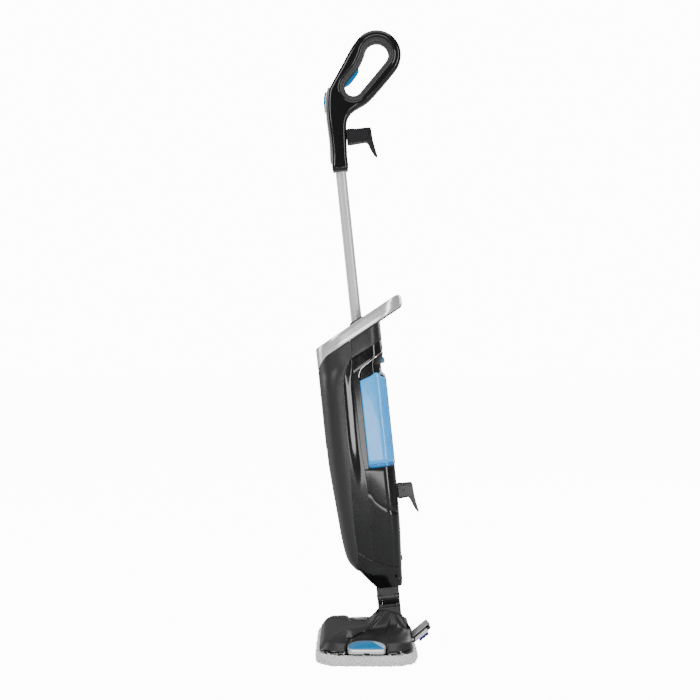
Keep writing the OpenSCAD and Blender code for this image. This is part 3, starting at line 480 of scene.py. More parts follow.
def outlinePiece(name, loops, low, high, edge, finish, body, swaps=(), place=onStick, steps=5, angle=35):
    # a flat outline in (y, z), holes included, drawn out from x = low to high with edges rounded by edge
    points, faces, faceRings = [], [], ([], [])
    for number, loop in enumerate(loops):
        line = [Vector(p) for p in loop]
        if (areaOf(line) > 0) != (number == 0):
            line.reverse()
        turns = [math.radians(90) * k / steps for k in range(steps + 1)]
        rings = [(high - edge * (1 - math.cos(a)), edge * (1 - math.sin(a))) for a in turns]
        rings += [(low + edge * (1 - math.cos(a)), edge * (1 - math.sin(a))) for a in reversed(turns)]
        rows = [[(x, p.x, p.y) for p in drawnIn(line, depth)] for x, depth in rings]
        base = len(points)
        addNet(points, faces, grid(rows, ring=True, flip=True))
        count = len(line)
        faceRings[0].append([base + k for k in range(count)])
        faceRings[1].append([base + (len(rows) - 1) * count + k for k in range(count)])
    for rings, up in zip(faceRings, (True, False)):
        order = [k for ring in rings for k in ring]
        flat = [[Vector((*points[k][1:], 0)) for k in ring] for ring in rings]
        for corner in tessellate_polygon(flat):
            face = [order[k] for k in corner]
            a, b, c = (points[k] for k in face)
            anticlockwise = (b[1] - a[1]) * (c[2] - a[2]) - (b[2] - a[2]) * (c[1] - a[1]) > 0
            faces.append(face if anticlockwise == up else face[::-1])
    return addPiece(name, points, faces, finish, body, swaps, place, angle)


def blockPiece(name, low, high, edge, finish, body, swaps=(), place=onStick, segments=4):
    points = [(x, y, z) for z in (low[2], high[2]) for y in (low[1], high[1]) for x in (low[0], high[0])]
    faces = [(0, 2, 3, 1), (4, 5, 7, 6), (0, 1, 5, 4), (2, 6, 7, 3), (0, 4, 6, 2), (1, 3, 7, 5)]
    piece = addPiece(name, points, faces, finish, body, swaps, place)
    if edge:
        edged(piece, edge, segments)
    return piece


def relax(points, times):
    # evens out a closed line of points or of heights
    n = len(points)
    for turn in range(times):
        points = [points[i] * 0.5 + (points[i - 1] + points[(i + 1) % n]) * 0.25 for i in range(n)]
    return points


# finishes on every CAD node, the hidden works included

nodeFinishes = {
    "satinBlack": ["foot_cover", "front_shell", "front_trim", "back_collar", "top_deck", "trigger_switch", "pump",
                   "steam_diffuser"],
    "deepBlack": ["base_rim", "foot_base", "boot", "chassis", "tank_hood", "column_cover", "rear_cover",
                  "tank_head", "tank_outlet", "handle_left", "handle_right"],
    "jointBlack": ["yoke", "neck", "recline_axle", "roll_pin", "scrubber_frame", "lower_hook", "upper_hook"],
    "linerGrey": ["grip_liner"],
    "bandSilver": ["carry_band"],
    "stripSilver": ["handle_strip", "tank_trim"],
    "tabSilver": ["tab_frame_left", "tab_frame_right"],
    "poleMetal": ["pole"],
    "paddleGrey": ["scrubber_top"],
    "steel": ["foot_pins", "tab_springs", "boiler", "case_screws", "trigger_pin",
              "trigger_spring", "hook_spindle", "handle_screws"],
    "brass": ["axle_bushes"],
    "tankBlue": ["tank"],
    "signalBlue": ["filler_cap", "tank_latch", "steam_button", "trigger"],
    "tabFace": ["tab_cap_left", "tab_cap_right"],
    "chenille": ["mop_pad"],
    "whiteMoulding": ["pad_tray", "scrubber_block"],
    "tuftIndigo": ["scrubber_bristles"],
    "ribRubber": ["tank_port", "cord_gland", "band_grip"],
    "hoseRubber": ["water_hose", "steam_hose"],
    "boardGreen": ["control_board"],
}
for finishName, names in nodeFinishes.items():
    for name in names:
        nodes[name].data.materials.clear()
        nodes[name].data.materials.append(finishes[finishName])
for name in ("yoke", "neck"):
    edged(nodes[name], 1.6, 3)
print("CAD nodes finished:", sum(len(n) for n in nodeFinishes.values()))

for k, y in enumerate((-10.15, 13.15)):
    rings = ((4.2, -0.12), (16.2, -0.12), (16.4, 0), (16.2, 0.12), (4.2, 0.12))
    rows = turned(rings, 64, lambda u, v, out, y=y: (u, y + out, rollHeight + v))
    addPiece("rollWasher%d" % (k + 1), *grid(rows, ring=True), "jointBlack", "joint_yoke", (), onStick, 40)

# foot cover

foot = {"halfWidth": 142, "halfDepth": 82, "corner": 40, "archDepth": 36, "archHalf": 36, "archY": -2,
        "crownY": 46.5, "crownHalf": (20.6, 30), "domeTop": 74.5, "low": 26.2, "bow": 2.4, "columns": 420}
coverSteps = [0, 0.004, 0.01, 0.018, 0.028, 0.04, 0.055, 0.075, 0.1, 0.13, 0.16, 0.19, 0.22, 0.25, 0.28, 0.31, 0.34,
              0.38, 0.42, 0.46, 0.5, 0.54, 0.58, 0.62, 0.66, 0.7, 0.74, 0.78, 0.82, 0.86, 0.9, 0.93, 0.96, 0.985, 1]
lobeProfile = [[0, 26.2], [0.02, 29.4], [0.045, 33.4], [0.07, 37], [0.09, 38.6], [0.15, 40.6], [0.27, 43.8],
               [0.5, 47], [0.7, 49.6], [0.8, 52], [0.87, 57], [0.94, 65.5], [1, 74.5]]
archProfile = [[0, 26.2], [0.02, 29.6], [0.06, 32.2], [0.1, 33], [0.2, 34], [0.26, 36.4], [0.3, 37.2],
               [0.5, 40], [0.65, 42.6], [0.78, 47.2], [0.9, 59.5], [1, 74.5]]
middleProfile = [[0, 26.2], [0.02, 30], [0.05, 35], [0.1, 39], [0.2, 42], [0.35, 44.4], [0.58, 47], [0.73, 48.8],
                 [0.82, 51.2], [0.92, 61.5], [1, 74.5]]
crownTop = [[16.5, 67.5], [22.9, 73.6], [28, 75.4], [40, 74.2], [50, 71], [62, 64.6], [70, 51.5], [76.5, 34.4]]


def footOutline(count):
    w, d, r = foot["halfWidth"], foot["halfDepth"], foot["corner"]
    right = []
    for v in spread(-1, 1, 61):
        turn = math.radians(90) * power(v, 1.6)
        right.append((w - foot["archDepth"] * max(0, math.cos(turn)) ** 1.2,
                      foot["archY"] + foot["archHalf"] * power(math.sin(turn), 0.5)))
    corners = cornered(w, d, r, 12)
    points = right + corners[0] + corners[1] + [(-x, y) for x, y in reversed(right)] + corners[2] + corners[3]
    dense = []
    for a, b in zip(points, points[1:] + points[:1]):
        a, b = Vector(a), Vector(b)
        parts = max(1, round((b - a).length / 0.8))
        dense += [a.lerp(b, k / parts) for k in range(parts)]
    return [Vector((p.x, p.y - foot["bow"] * (p.y / d) ** 2)) for p in relax(evenly(dense, count)[0], 5)]


def crownPoint(p):
    v = p - Vector((0, foot["crownY"]))
    u = v.normalized()
    a, b = foot["crownHalf"]
    reach = (abs(u.x / a) ** 6 + abs(u.y / b) ** 6) ** (-1 / 6)
    c = Vector((0, foot["crownY"])) + u * reach
    return Vector((c.x, c.y, along(crownTop, c.y)))


def archShare(p):
    if abs(p.y - foot["archY"]) > foot["archHalf"] + 2 or abs(p.x) > foot["halfWidth"]:
        return 0
    return ease((foot["halfWidth"] - abs(p.x)) / foot["archDepth"])


ridges = [[(118, -64), (86, -58), (58, -40), (36, -8), (25, 14)],
          [(100, -8), (80, 2), (56, 14), (36, 30), (27, 52)],
          [(108, 34), (96, 52), (70, 62), (44, 66)]]
ridgeLines = [smoothPath(line, 60) for line in ridges]


def ridgeRise(x, y):
    near = [min((Vector((abs(x), y)) - q).length for q in line[::2]) for line in ridgeLines]
    return 1.5 * math.exp(-(near[0] / 4.5) ** 2) + 1.1 * math.exp(-(near[1] / 3.2) ** 2) \
        + 1.3 * math.exp(-(near[2] / 3.6) ** 2)


def dipped(x, y, z):
    # the low saddle between each side arch and the dome, behind the front lobes
    top = 36.6 + 0.19 * max(0, 82 - abs(x))
    share = ease((y + 38) / 11) * ease((10 - y) / 12)
    return z - share * max(0, z - top)


outline = footOutline(foot["columns"])
coverRows = []
for e in coverSteps:
    row = []
    for p in outline:
        arched = archShare(p)
        c = crownPoint(Vector((math.copysign(foot["halfWidth"], p.x), p.y)) if arched else p)
        middle = 0 if arched else max(0, 1 - abs(p.x) / 90) ** 0.7 * (1 if abs(p.y) > 70 else 0)
        z = along(lobeProfile, e) * (1 - arched - middle) + along(archProfile, e) * arched \
            + along(middleProfile, e) * middle
        level = max(0, min(1, (foot["halfDepth"] - abs(p.y)) / 38))
        end = Vector((c.x, c.y))
        middlePoint = ((p + end) / 2).lerp(Vector((0.45 * p.x, p.y)), level)
        q = p.lerp(middlePoint, e).lerp(middlePoint.lerp(end, e), e)
        z += (c.z - foot["domeTop"]) * e * e
        fade = ease(e / 0.12) * ease((1 - e) / 0.15)
        row.append((q.x, q.y, max(foot["low"], dipped(q.x, q.y, z + ridgeRise(q.x, q.y) * fade))))
    coverRows.append(row)
for i in range(3, len(coverRows) - 1):
    # evens the ring out sideways, so that neighbouring profiles flow into each other
    heights = relax([z for x, y, z in coverRows[i]], 4 if i < 8 else 10)
    coverRows[i] = [(p[0], p[1], z) for p, z in zip(coverRows[i], heights)]
cover = {"name": "footCoverShell", "wall": 2.4, "notchHalf": 30.5, "notchTop": 38, "notchY": 74}
points, faces = grid(coverRows, ring=True)
faces = [f for f in faces if not all(abs(points[k][0]) < cover["notchHalf"] and points[k][1] > cover["notchY"]
                                     and points[k][2] < cover["notchTop"] for k in f)]
footCover = addPiece(cover["name"], points, faces, "satinBlack", "base", ["foot_cover"], onFloor, 50)
thicken(footCover, cover["wall"])
print("foot cover:", len(faces))

# gloss rim round the lobes
rim = {"low": 17.4, "high": 26.0, "out": 0.9, "edge": 2.2, "notchHalf": 31.5, "notchY": 70}
section = [(-1.6, rim["low"])] + [(rim["out"] - rim["edge"] * (1 - math.cos(math.radians(a))),
                                  rim["low"] + rim["edge"] * (1 - math.sin(math.radians(a))))
                                 for a in (90, 67, 45, 22, 0)] \
    + [(rim["out"], rim["high"] - 0.8), (rim["out"] - 0.5, rim["high"]), (-1.6, rim["high"])]
rimRows = [[(q.x, q.y, z) for q in grown(outline, reach)] for reach, z in section]
points, faces = grid(rimRows, ring=True)
faces = [f for f in faces if not all(abs(points[k][0]) < rim["notchHalf"] and points[k][1] > rim["notchY"]
                                     for k in f)]
thicken(addPiece("glossRim", points, faces, "deepBlack", "base", ["base_rim"], onFloor, 40), 0.8)

# mop pad

pad = {"halfWidth": 148, "halfDepth": 88.6, "shift": -1.6, "corner": 46, "low": 0.3, "top": 19, "around": 1100,
       "pitch": 8.2, "tuftDepth": 3.0, "lump": 1.2, "strands": 2600, "round": 7.5, "scrubberHalf": 34,
       "scrubberFrom": 60, "scrubberTop": 13.2}


padCorners = cornered(pad["halfWidth"], pad["halfDepth"], pad["corner"], 24)
padLine, padRound = evenly([Vector(p) for corner in padCorners for p in corner], pad["around"])
padLine = [q + Vector((0, pad["shift"])) for q in padLine]
padNormals = [(b - a).normalized() for a, b in zip(grown(padLine, 0), grown(padLine, 1))]
ribs = round(padRound / pad["pitch"])
random.seed(7)
ribShift = [random.uniform(-0.35, 0.35) for _ in range(ribs + 1)]
ribDepth = [random.uniform(0.55, 1.0) for _ in range(ribs + 1)]


def padProfile(t):
    # inset and height round the pad's edge, t from the sole (0) over the side to the top (1)
    a = math.radians(mixTo(-90, 90, ease(t) * 0.5 + t * 0.5))
    inset = pad["round"] * (1 - math.cos(a) ** 0.8) if abs(a) < math.pi / 2 else pad["round"]
    return inset, mixTo(pad["low"], pad["top"], 0.5 + 0.5 * math.sin(a))


def byScrubber(q):
    # the pad lies lower under the scrubber
    return abs(q.x) < pad["scrubberHalf"] and q.y > pad["scrubberFrom"]


padRows = []
for inset in (60, 30, 16):
    padRows.append([(q.x - n.x * inset, q.y - n.y * inset, pad["low"]) for q, n in zip(padLine, padNormals)])
for t in spread(0, 1, 34):
    inset, z = padProfile(min(0.9999, max(0.0001, t)))
    row = []
    for i, (q, n) in enumerate(zip(padLine, padNormals)):
        s = i / pad["around"] * ribs
        lean = s + 0.5 * math.sin(z * 0.35 + i * 0.013) + ribShift[int(s) % ribs]
        rib = abs(math.sin(math.pi * lean)) ** 0.6 * ribDepth[int(lean) % ribs]
        body = math.sin(math.pi * t) ** 0.5
        place3 = Vector((q.x, q.y, z))
        fine = noise.noise(place3 * 0.55) * 0.7 + noise.noise(place3 * 1.6) * 0.35
        broad = noise.noise(place3 * 0.09) * pad["lump"]
        out = -inset - 1.6 + (rib * pad["tuftDepth"] + fine) * (0.3 + 0.7 * body) + broad
        lift = max(-0.2, noise.noise(place3 * 0.31 + Vector((9, 0, 0))) * 0.9) * (0.2 if t < 0.2 else 1)
        high = pad["scrubberTop"] if byScrubber(q) else pad["top"] + 1.5
        row.append((q.x + n.x * out, q.y + n.y * out, min(high, max(0.05, z + lift))))
    padRows.append(row)
for inset in (14, 30, 60):
    padRows.append([(q.x - n.x * inset, q.y - n.y * inset, pad["scrubberTop"] if byScrubber(q) else pad["top"] - 2.4)
                    for q, n in zip(padLine, padNormals)])
points, faces = capped(padRows)
padPiece = addPiece("chenillePad", points, faces, "chenille", "base", ["mop_pad"], onFloor, 80)

# loose yarn ends that stand out of the side
points, faces = [], []
for k in range(pad["strands"]):
    i = random.randrange(pad["around"])
    q, n = padLine[i], padNormals[i]
    side = Vector((-n.y, n.x))
    byTab = abs(q.y + 2) < 38 and abs(q.x) > 120
    t = random.uniform(0.06, 0.72 if byTab else 0.5 if byScrubber(q) else 0.97)
    inset, z = padProfile(t)
    root = Vector((q.x - n.x * (inset + 2.0), q.y - n.y * (inset + 2.0), z))
    slope = math.radians(mixTo(-60, 75, t) + random.uniform(-25, 25))
    out = Vector((n.x * math.cos(slope), n.y * math.cos(slope), math.sin(slope)))
    sway = Vector((side.x, side.y, 0)) * random.uniform(-0.9, 0.9)
    length, thick = random.uniform(3.2, 5.6), random.uniform(0.5, 0.85)
    droop = random.uniform(-0.5, 0.15) * length
    rows = []
    for step, taper in ((0, 1), (0.4, 1.15), (0.75, 0.95), (1, 0.35)):
        centre = root + (out + sway * step) * length * step + Vector((0, 0, droop * step * step))
        centre.z = max(0.9, centre.z)
        row = []
        for turn in turnAngles(5):
            c, s = math.cos(turn + k), math.sin(turn + k)
            ring = Vector((side.x * c - n.x * s * 0.3, side.y * c - n.y * s * 0.3, s * 0.9))
            row.append(tuple(centre + ring * thick * taper))
        rows.append(row)
    addNet(points, faces, capped(rows, low=False))
yarn = addPiece("yarnEnds", points, faces, "chenille", "base", (), onFloor, 80)
print("mop pad:", len(padPiece.data.polygons), len(yarn.data.polygons))

# side tabs

tab = {"half": 33, "out": 147, "inner": 109.5, "low": 22, "face": 30.6, "slope": 12.4, "corner": 8, "flank": 14,
       "y": -2}


def tabPlan(inset, count=120):
    half, deep, r = tab["half"] - inset, tab["out"] - tab["inner"] - tab["flank"], tab["corner"] - inset
    points = [(-(deep - inset) * math.cos(math.radians(a)), half * math.sin(math.radians(a)))
              for a in spread(-90, 90, 40)]
    points += circleArc((tab["flank"] - inset - r, half - r), r, 90, 0, 12)
    points += circleArc((tab["flank"] - inset - r, r - half), r, 0, -90, 12)
    return smoothPath(points, count, closed=True)


def tabTop(x, rise):
    return tab["face"] + rise + (tab["flank"] - x) * math.tan(math.radians(tab["slope"]))


for side, sideName in ((-1, "left"), (1, "right")):
    def onTab(x, y, z, side=side):
        return Vector((side * (tab["out"] - tab["flank"] + x), tab["y"] + y, z)) * mm

    rows = [[(p.x, p.y, tab["low"] + up) for p in tabPlan(inset)] for inset, up in ((0.8, 0.2), (0, 1), (0, 4))]
    rows += [[(p.x, p.y, tabTop(p.x, rise)) for p in tabPlan(inset)]
             for inset, rise in ((0, -1.1), (0.3, -0.4), (1, -0.1), (1.7, -0.3), (1.9, -1.6))]
    addPiece(sideName + "TabFrame", *grid(rows, ring=True, flip=side < 0), "tabSilver", sideName + "_tab",
             ["tab_frame_" + sideName], onTab, 40)
    rows = []
    for inset, rise in ((2.0, -1.5), (2.1, -0.5), (2.6, 0.1), (4, 0.45), (8, 0.9), (14, 1.2), (18, 1.3)):
        plan, shrink = [(p.x, p.y) for p in tabPlan(min(inset, 4))], 1 - inset / 19.5
        if inset > 4:
            plan = [(x * shrink - 4 * (1 - shrink), y * shrink) for x, y in plan]
        rows.append([(x, y, tabTop(x, rise)) for x, y in plan])
    points, faces = capped(rows, low=False)
    if side < 0:
        faces = [f[::-1] for f in faces]
    addPiece(sideName + "TabInlay", points, faces, "tabFace", sideName + "_tab", ["tab_cap_" + sideName], onTab, 50)
    blockPiece(sideName + "TabSlot", (13.6, -5, tab["low"] + 0.4), (14.15, 5, tab["low"] + 2.2), 0.2, "jointBlack",
               sideName + "_tab", (), onTab, 2)
print("tabs made")

# scrubber

scrub = {"y": 83, "z": 24, "angle": 39.6, "half": 25, "length": 38, "under": -7.2, "tip": 6,
         "barrel": 3.4, "tuftRows": (10.5, 17.5, 24.5), "tuftsAcross": 7, "tuft": 2.5, "fibres": 52, "fibre": 0.32}


def onScrub(x, y, z):
    a = math.radians(scrub["angle"])
    return Vector((x, scrub["y"] + y * math.cos(a) - z * math.sin(a),
                   scrub["z"] + y * math.sin(a) + z * math.cos(a))) * mm


blockPiece("paddleFrame", (-scrub["half"], -2.6, -1.1), (scrub["half"], scrub["length"], 2.6), 1.0, "jointBlack",
           "scrubber", ["scrubber_frame"], onScrub)
blockPiece("paddleTip", (-scrub["half"], scrub["length"] - scrub["tip"], scrub["under"] + 1.3),
           (scrub["half"], scrub["length"] - 0.1, 2.3), 1.6, "jointBlack", "scrubber", (), onScrub)
blockPiece("paddleTop", (0.8 - scrub["half"], 3.4, 2.2), (scrub["half"] - 0.8, scrub["length"] - 0.8, 4.1), 1.3,
           "paddleGrey", "scrubber", ["scrubber_top"], onScrub)
blockPiece("paddleBlock", (0.5 - scrub["half"], -2.8, scrub["under"]),
           (scrub["half"] - 0.5, scrub["length"] - scrub["tip"] - 0.3, -1.2), 0.9, "whiteMoulding", "scrubber",
           ["scrubber_block"], onScrub)
hingeRows = turned([(scrub["barrel"], x) for x in (-scrub["half"], scrub["half"])], 36, lambda u, v, x: (x, u, v))
addPiece("paddleBarrel", *capped(hingeRows), "jointBlack", "scrubber", (), onScrub)
points, faces = [], []
for i in range(scrub["tuftsAcross"]):
    for y in scrub["tuftRows"]:
        cx = (i - 3) * (2 * scrub["half"] - 12) / 6
        for f in range(scrub["fibres"]):
            a, r = random.uniform(0, 2 * math.pi), scrub["tuft"] * math.sqrt(random.random())
            across, back = r * math.cos(a), r * math.sin(a)
            long = random.uniform(6.0, 6.7) - (r / scrub["tuft"]) ** 2 * 0.7
            rows = []
            for step in (0, 0.55, 1):
                x, depth = cx + across * mixTo(0.9, 1.45, step), y + back * mixTo(0.9, 1.45, step ** 1.4)
                rows.append([(x + scrub["fibre"] * math.cos(turn + f), depth + scrub["fibre"] * math.sin(turn + f),
                              scrub["under"] + 0.2 - long * step) for turn in turnAngles(4)])
            addNet(points, faces, capped(rows, low=False))
addPiece("bristleTufts", points, faces, "tuftIndigo", "scrubber", ["scrubber_bristles"], onScrub, 60)
print("scrubber made:", len(faces))

# body: one set of smooth lines along the stick

frontLine = [[30, -20.3], [43, -32], [62, -47.5], [78, -61], [86, -65.4], [95, -68.1], [127, -72.8], [172, -76.1],
             [228, -80.1], [272, -82.5], [290, -82.6], [480, -82.4]]
halfLine = [[30, 25], [45, 31], [62, 38], [100, 46], [170, 54], [240, 59], [310, 62], [480, 62]]
widestLine = [[30, -4], [62, -24], [95, -43], [300, -41], [400, -40], [425, -34], [446, -20], [480, -20]]
rearLine = [[30, 29.2], [45, 31], [56, 31.4], [106, 34], [162, 36.9], [250, 38.6], [480, 38.5]]
columnHalf = [[30, 22], [62, 33], [100, 40], [170, 46], [240, 49], [480, 51]]
shellEdge = [[60, -48.4], [70.6, -47.7], [104, -45.1], [144, -46.6], [204, -45.2], [272, -41.8], [309, -42.2],
             [370, -39.9], [407, -39.1], [429, -34.8], [443, -25.9], [450, -19.4]]
panelSeam = [[60, -15.4], [81, -15.6], [181, -16], [241, -16.7], [294, -20.2], [368, -20.1], [432, -19.5], [480, -19]]
deckHeight, deckSlope = 495.4, 0.531  # of the plane where the body ends and the carry band begins


def topLine(y):
    return deckHeight + deckSlope * y - 14 * max(0, (-60 - y) / 22) ** 2


def collarLine(y):
    return 462 + 0.49 * y


def hoodLine(y):
    return 437 + 0.63 * y


def tilted(h, y):
    return h if h <= 400 else mixTo(400, topLine(y), (h - 400) / 80)


def bootLine(y):
    # the joint between the body and its boot drops towards the back
    return along([[-60, 112], [-45, 103.5], [-34.1, 95], [-23, 86.1], [-10, 79.6], [0, 75.4], [14, 70], [32, 66]], y)


def frontPoint(h, a, inset=0):
    # a runs from -90 on the left, through 0 at the front, to 90 on the right
    w, yf, yc = along(halfLine, h) - inset, along(frontLine, h) + inset, along(widestLine, h)
    x = w * power(math.sin(math.radians(a)), 0.78)
    y = yc - (yc - yf) * math.cos(math.radians(a)) ** 0.78 if abs(a) < 90 else yc
    return x, y


def frontSweep(h, edgeY, inset, count):
    # points from the left edge at edgeY, round the front, to the right edge at edgeY
    yc = along(widestLine, h)
    w = along(halfLine, h) - inset
    half = [frontPoint(h, a, inset) for a in spread(0, 90, count)]
    if edgeY > yc:
        half += [(w - 0.055 * (y - yc), y) for y in spread(yc, edgeY, 9)[1:]]
    else:
        kept = [p for p in half if p[1] < edgeY - 0.2]
        nearest = next((p for p in half if p[1] >= edgeY - 0.2), half[-1])
        last = kept[-1]
        t = (edgeY - last[1]) / ((nearest[1] - last[1]) or 1)
        half = kept + [(mixTo(last[0], nearest[0], t), edgeY)]
    path = smoothPath(half, count)
    return [(-p.x, p.y) for p in reversed(path[1:])] + [(p.x, p.y) for p in path]


shell = {"wall": 2.4, "edgeTop": 450, "lastEdge": -19.4, "lip": 1.0}
shellHeights = [66, 70, 74, 78, 82, 86, 90, 96, 104, 116, 132, 150, 170, 195, 220, 245, 265, 280, 300, 325, 350, 375,
                395, 405, 412, 420, 428, 434, 440, 446, 452, 458, 464, 470, 476, 480]
rows = []
for h in shellHeights:
    edge = along(shellEdge, h) if h < shell["edgeTop"] else shell["lastEdge"]
    rows.append([(x, y, tilted(h, y)) for x, y in frontSweep(h, edge, 0, 40)])
# the edge turns in by a small lip
for row in rows:
    for end in (0, -1):
        x, y, z = row[end]
        row[end] = (x - math.copysign(shell["lip"], x), y, z)
points, faces = grid(rows)
frontShell = addPiece("frontShell", points, faces, "satinBlack", "stick", ["front_shell"], onStick, 60)
thicken(frontShell, shell["wall"])
edged(frontShell, 0.9, 3, 50)

# raised spine down the middle of the front
rows = []
for h in [293, 294, 296] + spread(300, 400, 11) + spread(406, 478, 12):
    out = 1.0 * ease((h - 292.5) / 3)
    rows.append([(x, along(frontLine, h) - out * (1 - (abs(x) / 9.6) ** 6) + 0.0014 * x * x,
                  tilted(h, along(frontLine, h)) - 0.8) for x in spread(-9.5, 9.5, 17)])
thicken(addPiece("frontSpine", *grid(rows), "satinBlack", "stick", ["front_trim"], onStick, 50), 0.8)

# gloss side panels between the shell's edge and the seam
panel = {"tuck": 3.0, "gap": 0.35, "wall": 2.4, "top": 451}


def sideWide(wide, narrow, t):
    return mixTo(wide, narrow + 0.6, ease(t * 0.9 + 0.1 * t * t))


for side in (-1, 1):
    rows = []
    for k in [0, 0.01, 0.03] + spread(0.06, 1, 22):
        row = []
        for t in spread(0, 1, 14):
            h = mixTo(90, panel["top"], k)
            for attempt in range(3):  # the joint below depends on y, and y on the height
                start, end = min(along(shellEdge, h), -19.6) - 4, along(panelSeam, h) - panel["gap"]
                y = mixTo(start, end, t)
                h = mixTo(bootLine(y) + 0.3, panel["top"], k)
            wide, narrow = along(halfLine, h) - panel["tuck"], along(columnHalf, h)
            row.append((side * sideWide(wide, narrow, t), y, h))
        rows.append(row)
    points, faces = grid(rows, flip=side < 0)
    sidePanel = addPiece("sidePanel" + sideWord[side], points, faces, "deepBlack", "stick", (), onStick, 50)
    thicken(sidePanel, panel["wall"])
    edged(sidePanel, 0.5, 2, 50)


def roundBack(half, middle, rear):
    # from the right side at middle to the rear's own middle
    turns = [math.radians(a) for a in spread(90, 0, 40)]
    return [(half * power(math.sin(a), 0.6), middle + (rear - middle) * max(0, math.cos(a)) ** 0.6) for a in turns]


def bothSides(path):
    return [(p.x, p.y) for p in path] + [(-p.x, p.y) for p in reversed(path[:-1])]


def columnSweep(h, startY, inset, count=60):
    # from the right side at startY, round the back, to the left
    w, yr = along(columnHalf, h) - inset, along(rearLine, h) - inset
    y0 = -12
    half = roundBack(w, y0, yr)
    if startY < y0:
        half = [(w + 0.5 * (y0 - startY) / 8, startY)] + half
    return bothSides(smoothPath(half, count))


def columnBand(name, low, high, levels, finish, swaps, start=None, edge=0.6, body="stick", inset=0):
    # a piece of the column between two sloping lines of y; start gives its front edge at a height
    rows = []
    for k in spread(0, 1, levels):
        level = mixTo(low(0), high(0), k)
        front = start(level) if start else along(panelSeam, level) + panel["gap"]
        rows.append([(x, y, mixTo(low(y), high(y), k)) for x, y in columnSweep(level, front, inset)])
    piece = addPiece(name, *grid(rows), finish, body, swaps, onStick, 50)
    thicken(piece, 2.4)
    edged(piece, edge, 3, 50)
    return piece


def splitLine(y):
    # the S-shaped joint between the two column covers
    return along([[-20, 208], [-11.5, 204.8], [-5.8, 193.5], [0, 187], [10.5, 178.4], [22, 171.5], [33.3, 166],
                  [40, 164]], y)


columnBand("lowerColumn", lambda y: bootLine(y) + 0.3, lambda y: splitLine(y) - 0.35, 14, "deepBlack",
           ["rear_cover"])
columnBand("upperColumn", lambda y: splitLine(y) + 0.35, lambda y: 251.4, 8, "deepBlack", ["column_cover"],
           inset=-0.1)
columnBand("tankHood", lambda y: hoodLine(y) + 0.2, lambda y: collarLine(y) - 0.2, 6, "deepBlack", ["tank_hood"],
           start=lambda h: -19.1)
columnBand("backCollar", lambda y: collarLine(y) + 0.2, topLine, 6, "satinBlack", ["back_collar"],
           start=lambda h: -19.0, inset=-0.4)

# dark backing behind the joints, and the cheeks beside the tank
for name, inset, heights in (("columnLiner", 3.1, spread(68, 250, 12)), ("collarLiner", 3.2, spread(452, 479, 6))):
    rows = [[(x, y, tilted(h, y)) for x, y in columnSweep(h, -27, inset)] for h in heights]
    addPiece(name, *grid(rows), "jointBlack", "stick", (), onStick, 60)
for side in (-1, 1):
    rows, backing = [], []
    for k in spread(0, 1, 24):
        level = mixTo(250.6, 430, k)
        row, back = [], []
        for t in spread(0, 1, 8):
            y = mixTo(along(panelSeam, level) + panel["gap"], -10.4, t)
            h = mixTo(250.8, hoodLine(y) - 0.2, k)
            row.append((side * (along(columnHalf, h) + 0.5 * max(0, (-12 - y) / 8)), y, h))
            back.append((side * (along(columnHalf, h) - 3), y - 6.5, mixTo(250.8, hoodLine(y) + 26, k)))
        w = along(columnHalf, row[-1][2])
        row += [(side * (w - 0.4), -9.95, row[-1][2]), (side * (w - 1.4), -9.75, row[-1][2]),
                (side * (w - 7), -9.75, row[-1][2])]
        rows.append(row)
        backing.append(back)
    addPiece("bayCheek" + sideWord[side], *grid(rows, flip=side < 0), "deepBlack", "stick", (), onStick, 40)
    addPiece("cheekLiner" + sideWord[side], *grid(backing, flip=side < 0), "jointBlack", "stick", (), onStick, 60)

# dark wall in front of the tank, and the shelf under it
rows = [[(x, -10.3, h) for x in spread(-46, 46, 9)] for h in spread(240, 451, 12)]
thicken(addPiece("bayWall", *grid(rows), "deepBlack", "stick", ["chassis"], onStick, 50), 1.6)
shelf = columnSweep(250, -16, 1.5)
rows = [[(x, y, z) for x, y in shelf] for z in (248.6, 250.6)]
addPiece("bayShelf", *capped(rows), "deepBlack", "stick", (), onStick, 50)

# boot under the shells: the same side surface carried on down, its top edge on the boot line
def bootRing(h, count=96):
    edge = max(min(along(shellEdge, h), -19.6), along(frontLine, h) + 12)
    seam = max(along(panelSeam, h), edge + 8)
    wide, narrow = along(halfLine, h) - panel["tuck"], along(columnHalf, h)
    front = [p for p in (frontPoint(h, a, 2.6) for a in spread(0, 90, 30)) if p[1] < edge - 5]
    side = [(sideWide(wide, narrow, t), mixTo(edge - 4, seam, t)) for t in spread(0, 1, 12)]
    back = columnSweep(h, seam + 0.6, 0)[:60]
    half = smoothPath(front + side + back, count)
    w, yf, yr, yc = along(halfLine, h) - 2.6, along(frontLine, h) + 2.6, along(rearLine, h), along(widestLine, h)
    waist = mixTo(w, along(columnHalf, h), 0.55)
    plain = [(w * power(math.sin(a), 0.78), yc - (yc - yf) * power(math.cos(a), 0.78))
             for a in spread(0, math.pi / 2, 40)]
    for a in spread(0, math.pi / 2, 60)[1:]:
        c, s = power(math.cos(a), 0.62), power(math.sin(a), 0.62)
        plain.append((mixTo(w, waist, math.sin(a) ** 0.5) * c, yc + (yr - yc) * s))
    plain = smoothPath(plain, count)
    share = ease((h - 60) / 14)
    half = [p.lerp(q, share) for p, q in zip(plain, half)]
    return [(p.x, p.y) for p in half] + [(-p.x, p.y) for p in reversed(half[1:-1])]


bootLevels = spread(30, 114, 29)  # 3 apart
bootRings = [bootRing(h) for h in bootLevels]


def bootAt(k, h):
    # the point of every ring's column k, at any height
    place = min(len(bootRings) - 1.001, max(0, (h - bootLevels[0]) / 3))
    low, high = bootRings[int(place)][k], bootRings[int(place) + 1][k]
    return mixTo(low[0], high[0], place % 1), mixTo(low[1], high[1], place % 1)


